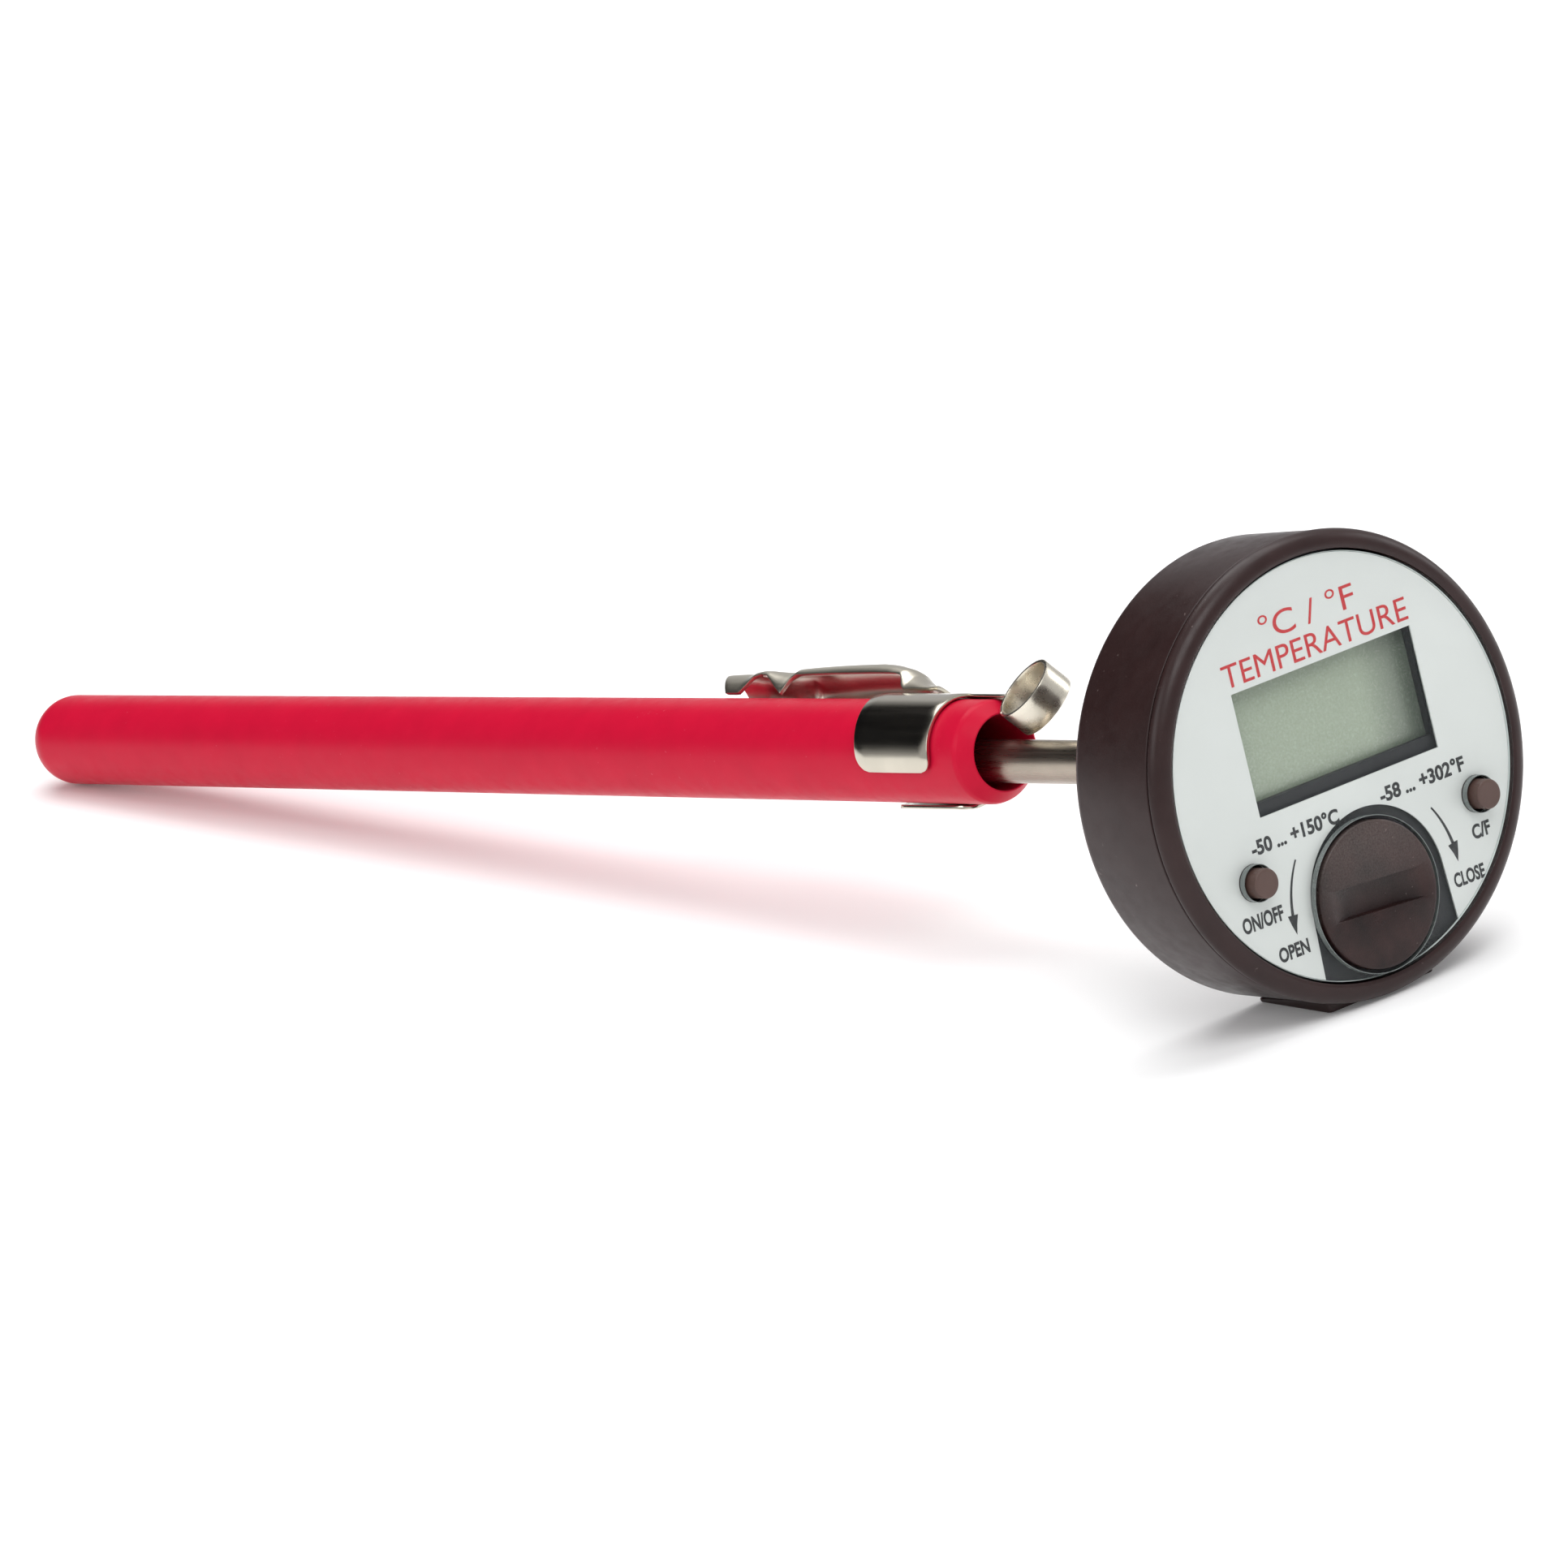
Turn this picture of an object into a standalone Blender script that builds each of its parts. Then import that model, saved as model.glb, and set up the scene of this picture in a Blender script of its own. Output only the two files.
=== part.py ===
"""Digital stem thermometer: round head, steel stem, and a plastic sheath with a pocket clip.

World frame, in metres: +X points out of the dial along the stem, +Z is up on the dial, +Y is the
dial's right. The origin is the centre of the lens's front face, on the stem's axis.
The pieces of the head are drawn in a face frame: local x is the dial's right, local y is up and
local z is out, so depths behind the lens are negative.
"""
from math import acos, asin, atan2, cos, hypot, pi, radians, sin, sqrt

import bmesh
import bpy
from mathutils import Matrix, Vector

MM = 0.001

# ---- driving dimensions -------------------------------------------------------------------
HEAD_RADIUS = 21.0 * MM           # widest circle of the bezel
HEAD_BACK = -13.0 * MM            # flat back of the head
STEM_RADIUS = 2.0 * MM
STEM_BORE = 1.6 * MM
STEM_LENGTH = 150.0 * MM          # from the head's back to the tip
SHEATH_MOUTH_RADIUS = 4.78 * MM
SHEATH_TIP_RADIUS = 4.41 * MM
SHEATH_BORE = 3.5 * MM
SHEATH_MOUTH = -49.35 * MM        # the sheath is drawn about 30 mm off the head
SHEATH_LENGTH = 155.4 * MM
SHEATH_DROP = 0.86 * MM           # the stem lies this far below the middle of the loose bore
CELL_RADIUS = 5.8 * MM            # LR44 button cell
CELL_HEIGHT = 5.4 * MM
GAP = 0.3 * MM                    # room between neighbouring pieces

# ---- head ---------------------------------------------------------------------------------
LIP_RADIUS = 19.25 * MM
LENS_RADIUS = 19.0 * MM
LENS_DEPTH = 0.6 * MM
LENS_HOLE = 7.0 * MM              # opening of the lens round the battery cap
LABEL_RADIUS = 18.95 * MM
LABEL_FRONT = -0.75 * MM
LABEL_DEPTH = 0.15 * MM
DECK_FRONT = -1.2 * MM
DECK_DEPTH = 1.0 * MM
PARTING = -1.75 * MM              # bezel meets rear housing
HOUSING_FRONT_RADIUS = 20.9 * MM
HOUSING_BACK_RADIUS = 20.5 * MM
HOUSING_INNER = 19.4 * MM
BACK_WALL = 1.1 * MM
BOARD_FRONT = -6.6 * MM
BOARD_DEPTH = 0.8 * MM
FOOT_HALF_WIDTH = 6.2 * MM
FOOT_FRONT = -2.6 * MM
FOOT_LOW = -21.0 * MM

WINDOW_CENTRE = (0.4 * MM, 4.0 * MM)
WINDOW_SIZE = (21.0 * MM, 11.3 * MM)
BUTTONS = {"onoff": -12.4 * MM, "unit": 13.85 * MM}
BUTTON_HEIGHT = -6.9 * MM
BUTTON_RADIUS = 1.35 * MM
BUTTON_HOLE = 1.65 * MM
BUTTON_FRONT = 1.1 * MM
WELL_CENTRE = (0.0, -11.85 * MM)
CAP_RADIUS = 6.65 * MM
CAP_FRONT = 0.2 * MM
SCREW_PLACES = [(-15.2 * MM, 6.0 * MM), (15.2 * MM, 6.0 * MM), (0.0, 15.4 * MM)]

# ---- pocket clip --------------------------------------------------------------------------
SHEET = 0.35 * MM
BAND_INNER = 4.95 * MM
BAND_TURN = radians(52.5)         # middle of the band, turned from +Z towards +Y
BAND_HALF_WRAP = radians(147.5)
BAND_ENDS = (-65.8 * MM, -54.9 * MM)
TONGUE_TURN = radians(50.0)
RING_CENTRE = Vector((-46.2, 2.46, 5.33)) * MM
RING_AXIS = Vector((-0.198, -0.584, 0.787)).normalized()
RING_RADIUS = 3.2 * MM
RING_WIDTH = 2.95 * MM

FINE = 64                         # segments round the head
MEDIUM = 40
COARSE = 24
FACE_TURN = (pi / 2, 0.0, pi / 2)


# ---- scene helpers ------------------------------------------------------------------------
def clear_scene():
    for obj in list(bpy.data.objects):
        bpy.data.objects.remove(obj, do_unlink=True)


def new_collection(name):
    group = bpy.data.collections.new(name)
    bpy.context.scene.collection.children.link(group)
    return group


def material(name, colour, roughness, metallic=0.0):
    mat = bpy.data.materials.new(name)
    mat.use_nodes = True
    shader = mat.node_tree.nodes["Principled BSDF"]
    shader.inputs["Base Color"].default_value = (*colour, 1.0)
    shader.inputs["Roughness"].default_value = roughness
    shader.inputs["Metallic"].default_value = metallic
    return mat


def place(obj, finish, group):
    """Link an object to a collection and give it its own material."""
    if finish is not None:
        obj.data.materials.append(material(obj.name, *finish))
    group.objects.link(obj)
    return obj


def shade_round(mesh, angle=35.0):
    mesh.shade_smooth()
    mesh.set_sharp_from_angle(angle=radians(angle))


def mesh_object(name, bm, finish, group, matrix=None):
    mesh = bpy.data.meshes.new(name)
    bmesh.ops.recalc_face_normals(bm, faces=bm.faces)
    bm.to_mesh(mesh)
    bm.free()
    shade_round(mesh)
    obj = bpy.data.objects.new(name, mesh)
    if matrix is not None:
        obj.matrix_world = matrix
    return place(obj, finish, group)


def turned(name, profile, finish, group, segments, centre=(0.0, 0.0), turn=FACE_TURN, origin=(0, 0, 0)):
    """A profile of (radius, depth) points revolved about local z; it runs down the outer side."""
    mesh = bpy.data.meshes.new(name)
    points = [(r, 0.0, z) for r, z in profile]
    edges = [(i, i + 1) for i in range(len(points) - 1)]
    if profile[0][0] > 0.0 and profile[-1][0] > 0.0:
        edges.append((len(points) - 1, 0))
    mesh.from_pydata(points, edges, [])
    obj = bpy.data.objects.new(name, mesh)
    screw = obj.modifiers.new("Screw", "SCREW")
    screw.axis = "Z"
    screw.steps = segments
    screw.render_steps = segments
    screw.use_merge_vertices = True
    screw.merge_threshold = 0.00001
    screw.use_smooth_shade = True
    obj.location = Vector((0.0, centre[0], centre[1])) + Vector(origin)
    obj.rotation_euler = turn
    return place(obj, finish, group)


def circle_points(radius, centre, count):
    step = 2 * pi / count
    return [(centre[0] + radius * cos(i * step), centre[1] + radius * sin(i * step)) for i in range(count)]


def rectangle_points(size, centre):
    half_w = size[0] / 2
    half_h = size[1] / 2
    signs = ((-1, -1), (1, -1), (1, 1), (-1, 1))
    return [(centre[0] + sx * half_w, centre[1] + sy * half_h) for sx, sy in signs]


def plate(name, outlines, front, depth, finish, group):
    """A flat piece of the face frame: the first outline is its edge, the others are holes."""
    curve = bpy.data.curves.new(name, "CURVE")
    curve.dimensions = "2D"
    curve.fill_mode = "BOTH"
    curve.extrude = depth / 2
    for outline in outlines:
        spline = curve.splines.new("POLY")
        spline.points.add(len(outline) - 1)
        spline.use_cyclic_u = True
        for point, (x, y) in zip(spline.points, outline):
            point.co = (x, y, 0.0, 1.0)
    obj = bpy.data.objects.new(name, curve)
    obj.location = (front - depth / 2, 0.0, 0.0)
    obj.rotation_euler = FACE_TURN
    return place(obj, finish, group)


def as_mesh(obj, group):
    """Turn a curve object into a welded mesh object of the same name and place."""
    bpy.context.view_layer.update()
    source = obj.evaluated_get(bpy.context.evaluated_depsgraph_get())
    mesh = bpy.data.meshes.new_from_object(source)
    bm = bmesh.new()
    bm.from_mesh(mesh)
    bmesh.ops.remove_doubles(bm, verts=bm.verts, dist=0.000001)
    bmesh.ops.recalc_face_normals(bm, faces=bm.faces)
    bm.to_mesh(mesh)
    bm.free()
    name = obj.name
    matrix = obj.matrix_world.copy()
    bpy.data.objects.remove(obj, do_unlink=True)
    solid = bpy.data.objects.new(name, mesh)
    solid.matrix_world = matrix
    group.objects.link(solid)
    return solid


def box(name, size, centre, finish, group, bevel=0.0):
    """A block of world size (x, y, z) with rounded edges."""
    bm = bmesh.new()
    bmesh.ops.create_cube(bm, size=1.0, matrix=Matrix.Diagonal((*size, 1.0)))
    if bevel > 0.0:
        bmesh.ops.bevel(bm, geom=bm.edges[:], offset=bevel, segments=2, affect="EDGES", profile=0.5)
    return mesh_object(name, bm, finish, group, Matrix.Translation(Vector(centre)))


def rod(name, radius, start, end, finish, group, segments):
    """A cylinder between two world points."""
    span = Vector(end) - Vector(start)
    bm = bmesh.new()
    size = {"radius1": radius, "radius2": radius, "depth": span.length}
    bmesh.ops.create_cone(bm, cap_ends=True, segments=segments, **size)
    turn = Vector((0, 0, 1)).rotation_difference(span).to_matrix().to_4x4()
    matrix = Matrix.Translation((Vector(start) + Vector(end)) / 2) @ turn
    return mesh_object(name, bm, finish, group, matrix)


def wire(name, radius, points, finish, group):
    curve = bpy.data.curves.new(name, "CURVE")
    curve.dimensions = "3D"
    curve.bevel_depth = radius
    curve.bevel_resolution = 2
    curve.use_fill_caps = True
    spline = curve.splines.new("POLY")
    spline.points.add(len(points) - 1)
    for point, place_at in zip(spline.points, points):
        point.co = (*place_at, 1.0)
    return place(bpy.data.objects.new(name, curve), finish, group)


def boolean(obj, cutter, operation="DIFFERENCE"):
    modifier = obj.modifiers.new(operation.title(), "BOOLEAN")
    modifier.operation = operation
    modifier.solver = "EXACT"
    modifier.object = cutter


def cutter_group_hidden(group):
    for obj in group.objects:
        obj.hide_render = True
        obj.display_type = "WIRE"


def sheet_object(name, rows, thickness, finish, group):
    """A curved sheet from a grid of inner-surface points, thickened outwards with Solidify."""
    bm = bmesh.new()
    grid = [[bm.verts.new(point) for point in row] for row in rows]
    for upper, lower in zip(grid, grid[1:]):
        for i in range(len(upper) - 1):
            bm.faces.new((upper[i], upper[i + 1], lower[i + 1], lower[i]))
    mesh = bpy.data.meshes.new(name)
    bm.to_mesh(mesh)
    bm.free()
    shade_round(mesh)
    obj = bpy.data.objects.new(name, mesh)
    solid = obj.modifiers.new("Solidify", "SOLIDIFY")
    solid.thickness = thickness
    solid.offset = 1.0
    return place(obj, finish, group)


def arc(centre, radii, start, end, count):
    """Points of an elliptical arc in a profile, from start to end degrees."""
    points = []
    for i in range(count + 1):
        angle = radians(start + (end - start) * i / count)
        points.append((centre[0] + radii[0] * cos(angle), centre[1] + radii[1] * sin(angle)))
    return points


# ---- head: outside ------------------------------------------------------------------------
PLASTIC_BROWN = ((0.055, 0.035, 0.035), 0.42)


def foot_slope():
    """Angle of the plane that touches the foot's front edge and the sheath's round end."""
    end_centre = SHEATH_MOUTH - SHEATH_LENGTH + SHEATH_TIP_RADIUS
    run = FOOT_FRONT - end_centre
    rise = SHEATH_DROP - FOOT_LOW
    return atan2(rise, run) - asin(SHEATH_TIP_RADIUS / hypot(rise, run))


def make_front_bezel(group):
    crest = arc((19.6 * MM, -1.6 * MM), (HEAD_RADIUS - 19.6 * MM, 1.3 * MM), 95, 0, 9)
    profile = [(LIP_RADIUS, -0.42 * MM), *crest]
    profile += [(HEAD_RADIUS, PARTING), (20.3 * MM, PARTING)]
    profile += [(20.3 * MM, -1.25 * MM), (LIP_RADIUS, -1.25 * MM)]
    turned("front_bezel", profile, PLASTIC_BROWN, group, FINE)


def make_rear_housing(group, cutters):
    """Cup with a spigot for the bezel, a boss round the stem and a sloped foot."""
    inside = HEAD_BACK + BACK_WALL
    back_edge = arc((HOUSING_BACK_RADIUS - 0.8 * MM, HEAD_BACK + 0.8 * MM), (0.8 * MM, 0.8 * MM), 0, -90, 4)
    profile = [(HOUSING_INNER, -1.55 * MM), (20.0 * MM, -1.55 * MM), (20.0 * MM, PARTING - GAP)]
    profile += [(HOUSING_FRONT_RADIUS, PARTING - GAP), *back_edge]
    profile += [(STEM_RADIUS + GAP, HEAD_BACK), (STEM_RADIUS + GAP, inside + 1.8 * MM)]
    profile += [(4.2 * MM, inside + 1.8 * MM), (4.2 * MM, inside), (HOUSING_INNER, inside)]
    housing = turned("rear_housing", profile, PLASTIC_BROWN, group, FINE)
    boolean(housing, foot_block(cutters), "UNION")
    boolean(housing, foot_plane(cutters))


def foot_block(group):
    """Block under the housing, taller than the foot until foot_plane trims it."""
    back = HEAD_BACK + 0.5 * MM
    top = -19.45 * MM
    bottom = FOOT_LOW - 1.0 * MM
    bm = bmesh.new()
    size = (FOOT_FRONT - back, 2 * FOOT_HALF_WIDTH, top - bottom)
    bmesh.ops.create_cube(bm, size=1.0, matrix=Matrix.Diagonal((*size, 1.0)))
    corners = [e for e in bm.edges if abs(e.verts[0].co.z - e.verts[1].co.z) > MM]
    bmesh.ops.bevel(bm, geom=corners, offset=0.55 * MM, segments=3, affect="EDGES", profile=0.5)
    centre = Vector(((FOOT_FRONT + back) / 2, 0.0, (top + bottom) / 2))
    return mesh_object("foot_block", bm, None, group, Matrix.Translation(centre))


def foot_plane(group):
    """Cutter whose top is the table: it planes the foot and the housing's belly to one flat."""
    depth = 5.0 * MM
    bm = bmesh.new()
    bmesh.ops.create_cube(bm, size=1.0, matrix=Matrix.Diagonal((40 * MM, 30 * MM, depth, 1.0)))
    turn = Matrix.Rotation(foot_slope(), 4, "Y")
    centre = Vector((FOOT_FRONT, 0.0, FOOT_LOW)) - turn.to_3x3() @ Vector((0.0, 0.0, depth / 2))
    return mesh_object("foot_plane", bm, None, group, Matrix.Translation(centre) @ turn)


def make_face_lens(group):
    outlines = [circle_points(LENS_RADIUS, (0, 0), FINE), circle_points(LENS_HOLE, WELL_CENTRE, MEDIUM)]
    for x in BUTTONS.values():
        outlines.append(circle_points(BUTTON_HOLE, (x, BUTTON_HEIGHT), COARSE))
    plate("face_lens", outlines, 0.0, LENS_DEPTH, ((0.75, 0.82, 0.78), 0.08), group)


def label_outline():
    """Disc with a keyhole notch that runs out of its lower edge round the battery cap."""
    notch_radius = 7.7 * MM
    notch_middle = 0.75 * MM
    foot_half = 7.95 * MM
    start = -acos((notch_middle + foot_half) / LABEL_RADIUS)
    end = 2 * pi - acos((notch_middle - foot_half) / LABEL_RADIUS)
    count = 52
    rim = [start + (end - start) * i / count for i in range(count + 1)]
    points = [(LABEL_RADIUS * cos(a), LABEL_RADIUS * sin(a)) for a in rim]
    for i in range(COARSE + 1):
        angle = pi - pi * i / COARSE
        across = notch_middle + notch_radius * cos(angle)
        points.append((across, WELL_CENTRE[1] + notch_radius * sin(angle)))
    return points


def make_dial_label(group):
    outlines = [label_outline(), rectangle_points(WINDOW_SIZE, WINDOW_CENTRE)]
    for x in BUTTONS.values():
        outlines.append(circle_points(BUTTON_HOLE + 0.05 * MM, (x, BUTTON_HEIGHT), COARSE))
    plate("dial_label", outlines, LABEL_FRONT, LABEL_DEPTH, ((0.80, 0.83, 0.82), 0.35), group)


# ---- head: inside -------------------------------------------------------------------------
WELL_RADIUS = 6.45 * MM
WELL_WALL = 0.6 * MM
CHAMBER_RADIUS = CELL_RADIUS + GAP
CHAMBER_TOP = -4.6 * MM
WELL_FLOOR = -11.0 * MM


def make_inner_frame(group, cutters):
    """Deck under the label with the battery well and the screw posts of the circuit board."""
    window = (WINDOW_SIZE[0] + 2.2 * MM, WINDOW_SIZE[1] + 2.2 * MM)
    outlines = [circle_points(HOUSING_INNER - GAP, (0, 0), FINE), rectangle_points(window, WINDOW_CENTRE)]
    outlines.append(circle_points(WELL_RADIUS + 0.3 * MM, WELL_CENTRE, MEDIUM))
    for x in BUTTONS.values():
        outlines.append(circle_points(BUTTON_HOLE, (x, BUTTON_HEIGHT), COARSE))
    finish = ((0.03, 0.03, 0.035), 0.5)
    deck = as_mesh(plate("inner_frame", outlines, DECK_FRONT, DECK_DEPTH, None, group), group)
    deck.data.materials.append(material("inner_frame", *finish))
    outer = WELL_RADIUS + WELL_WALL
    well_top = DECK_FRONT - 0.2 * MM
    well_back = WELL_FLOOR - 0.6 * MM
    profile = [(WELL_RADIUS, well_top), (outer, well_top), (outer, well_back)]
    profile += [(0.8 * MM, well_back), (0.8 * MM, WELL_FLOOR), (CHAMBER_RADIUS, WELL_FLOOR)]
    profile += [(CHAMBER_RADIUS, CHAMBER_TOP), (WELL_RADIUS, CHAMBER_TOP)]
    well = turned("well_block", profile, None, cutters, MEDIUM, centre=WELL_CENTRE)
    slot_height = WELL_CENTRE[1] + CHAMBER_RADIUS
    slot = box("contact_slot", (2.6 * MM, 2.6 * MM, 4.0 * MM), (-8.2 * MM, 0.0, slot_height), None, cutters)
    boolean(well, slot)
    boolean(deck, well, "UNION")
    post_end = BOARD_FRONT + GAP
    for index, (x, y) in enumerate(SCREW_PLACES):
        post_profile = [(0.9 * MM, DECK_FRONT - 0.4 * MM), (1.7 * MM, DECK_FRONT - 0.4 * MM)]
        post_profile += [(1.7 * MM, post_end), (0.9 * MM, post_end)]
        post = turned(f"post_block_{index}", post_profile, None, cutters, 20, centre=(x, y))
        boolean(deck, post, "UNION")


def make_lcd(group, cutters):
    """Dark frame, glass and the rubber contact strip behind the label's window."""
    frame_size = (WINDOW_SIZE[0] + 1.6 * MM, WINDOW_SIZE[1] + 1.6 * MM)
    frame_front = DECK_FRONT - 0.15 * MM
    frame_back = BOARD_FRONT + GAP
    depth = frame_front - frame_back
    middle = (frame_front + frame_back) / 2
    size = (depth, frame_size[0], frame_size[1])
    lcd_frame = box("lcd_frame", size, (middle, *WINDOW_CENTRE), ((0.035, 0.035, 0.045), 0.45), group)
    opening_size = (20.8 * MM, 10.0 * MM)
    opening_centre = (WINDOW_CENTRE[0] + 0.2 * MM, WINDOW_CENTRE[1] + 0.55 * MM)
    through = box("lcd_opening", (20 * MM, *opening_size), (middle, *opening_centre), None, cutters)
    boolean(lcd_frame, through)
    glass_front = frame_front - 0.9 * MM
    pocket_depth = glass_front + GAP - frame_back
    pocket_size = (pocket_depth + 2 * MM, frame_size[0] - 0.8 * MM, frame_size[1] - 0.8 * MM)
    pocket_x = frame_back - 2 * MM + pocket_size[0] / 2
    pocket = box("lcd_pocket", pocket_size, (pocket_x, *WINDOW_CENTRE), None, cutters)
    boolean(lcd_frame, pocket)
    glass_size = (1.4 * MM, frame_size[0] - 1.2 * MM, frame_size[1] - 1.3 * MM)
    glass_centre = (glass_front - glass_size[0] / 2, *WINDOW_CENTRE)
    box("lcd_glass", glass_size, glass_centre, ((0.42, 0.47, 0.37), 0.15), group, bevel=0.08 * MM)
    strip_front = glass_front - glass_size[0] - GAP
    strip_depth = strip_front - (BOARD_FRONT + GAP)
    strip_centre = (strip_front - strip_depth / 2, 0.0, -0.1 * MM)
    box("zebra_strip", (strip_depth, 18.5 * MM, 1.5 * MM), strip_centre, ((0.5, 0.2, 0.35), 0.6), group)


def board_outline():
    """Disc with a round bite for the battery well."""
    radius = 18.6 * MM
    bite = WELL_RADIUS + WELL_WALL + GAP
    centre = WELL_CENTRE[1]
    crossing_y = (radius ** 2 - bite ** 2 + centre ** 2) / (2 * centre)
    crossing_x = sqrt(radius ** 2 - crossing_y ** 2)
    start = atan2(crossing_y, crossing_x)
    count = 48
    rim = [start + (pi - 2 * start) * i / count for i in range(count + 1)]
    points = [(radius * cos(a), radius * sin(a)) for a in rim]
    bite_start = atan2(crossing_y - centre, -crossing_x)
    if bite_start < 0:
        bite_start += 2 * pi
    sweep = 2 * bite_start - pi
    for i in range(1, COARSE):
        angle = bite_start - sweep * i / COARSE
        points.append((bite * cos(angle), centre + bite * sin(angle)))
    return points


def make_circuit_board(group):
    outlines = [board_outline()]
    for x, y in SCREW_PLACES:
        outlines.append(circle_points(0.9 * MM, (x, y), 16))
    plate("circuit_board", outlines, BOARD_FRONT, BOARD_DEPTH, ((0.02, 0.16, 0.07), 0.4), group)
    back = BOARD_FRONT - BOARD_DEPTH - GAP
    blob = [(0.0, back), (3.2 * MM, back), *arc((0.0, back - 0.2 * MM), (3.2 * MM, 1.1 * MM), 0, -90, 6)]
    turned("chip_blob", blob, ((0.01, 0.01, 0.012), 0.25), group, COARSE, centre=(-8.5 * MM, 7.5 * MM))
    rod("capacitor", 1.5 * MM, (back, 8.5 * MM, 8.5 * MM), (back - 2.8 * MM, 8.5 * MM, 8.5 * MM),
        ((0.02, 0.03, 0.12), 0.35), group, COARSE)
    rod("resistor", 0.8 * MM, (back - 0.8 * MM, 6.5 * MM, 3.0 * MM), (back - 0.8 * MM, 10.0 * MM, 3.0 * MM),
        ((0.55, 0.38, 0.22), 0.5), group, 16)


def make_board_screws(group):
    head_front = BOARD_FRONT - BOARD_DEPTH - GAP
    head_back = head_front - 0.9 * MM
    for index, place_at in enumerate(SCREW_PLACES, start=1):
        profile = [(0.0, -3.4 * MM), (0.55 * MM, -3.6 * MM), (0.6 * MM, head_front), (1.4 * MM, head_front)]
        profile += [(1.4 * MM, head_front - 0.5 * MM), (1.0 * MM, head_back), (0.0, head_back)]
        turned(f"board_screw_{index}", profile, ((0.6, 0.6, 0.6), 0.3, 1.0), group, 16, centre=place_at)


def make_buttons(group):
    """Two push buttons with a flange behind the deck, and their snap domes on the board."""
    flange_front = DECK_FRONT - DECK_DEPTH - GAP
    dome_top = BOARD_FRONT + GAP + 0.75 * MM
    finish = ((0.13, 0.075, 0.07), 0.5)
    for name, x in BUTTONS.items():
        crown = arc((BUTTON_RADIUS - 0.2 * MM, BUTTON_FRONT - 0.2 * MM), (0.2 * MM, 0.2 * MM), 90, 0, 3)
        profile = [(0.0, BUTTON_FRONT), *crown, (BUTTON_RADIUS, flange_front), (2.2 * MM, flange_front)]
        profile += [(2.2 * MM, flange_front - 0.7 * MM), (0.9 * MM, flange_front - 0.7 * MM)]
        profile += [(0.9 * MM, dome_top + 0.6 * MM), (0.0, dome_top + 0.6 * MM)]
        turned(f"{name}_button", profile, finish, group, COARSE, centre=(x, BUTTON_HEIGHT))
        base = BOARD_FRONT + GAP
        dome = [*arc((0.0, base), (2.0 * MM, dome_top - base), 90, 0, 5), (0.0, base)]
        turned(f"{name}_dome", dome, ((0.65, 0.65, 0.63), 0.3, 1.0), group, COARSE, centre=(x, BUTTON_HEIGHT))


# ---- battery ------------------------------------------------------------------------------
SKIRT_RADIUS = 6.15 * MM
FLANGE_BACK = -0.95 * MM
SKIRT_BACK = -4.1 * MM
GROOVE_MIDDLE = -3.2 * MM
CELL_FRONT = -4.75 * MM


def make_battery_cap(group, cutters):
    """Coin-slotted cap; its skirt carries the thread and the seal's groove."""
    groove_half = 0.5 * MM
    groove = SKIRT_RADIUS - 0.8 * MM
    edge = arc((CAP_RADIUS - 0.3 * MM, CAP_FRONT - 0.3 * MM), (0.3 * MM, 0.3 * MM), 90, 0, 3)
    profile = [(0.0, CAP_FRONT), *edge, (CAP_RADIUS, FLANGE_BACK), (SKIRT_RADIUS, FLANGE_BACK)]
    profile += [(SKIRT_RADIUS, GROOVE_MIDDLE + groove_half), (groove, GROOVE_MIDDLE + groove_half)]
    profile += [(groove, GROOVE_MIDDLE - groove_half), (SKIRT_RADIUS, GROOVE_MIDDLE - groove_half)]
    profile += [(SKIRT_RADIUS, SKIRT_BACK), (4.4 * MM, SKIRT_BACK), (4.4 * MM, -3.3 * MM), (0.0, -3.3 * MM)]
    cap = turned("battery_cap", profile, PLASTIC_BROWN, group, MEDIUM, centre=WELL_CENTRE)
    half_length = 4.7 * MM
    depth = 1.4 * MM
    coin_radius = (half_length ** 2 + depth ** 2) / (2 * depth)
    middle = CAP_FRONT - depth + coin_radius
    low = WELL_CENTRE[1] - 1.32 * MM
    high = WELL_CENTRE[1] + 1.32 * MM
    coin = rod("coin_slot", coin_radius, (middle, 0.0, low), (middle, 0.0, high), None, cutters, 72)
    boolean(cap, coin)


def make_cap_seal(group):
    section = arc((SKIRT_RADIUS - 0.17 * MM, 0.0), (0.36 * MM, 0.36 * MM), 90, -270, 12)
    ring = [(r, z + GROOVE_MIDDLE) for r, z in section]
    turned("battery_cap_seal", ring[:-1], ((0.02, 0.02, 0.02), 0.6), group, MEDIUM, centre=WELL_CENTRE)


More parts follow.
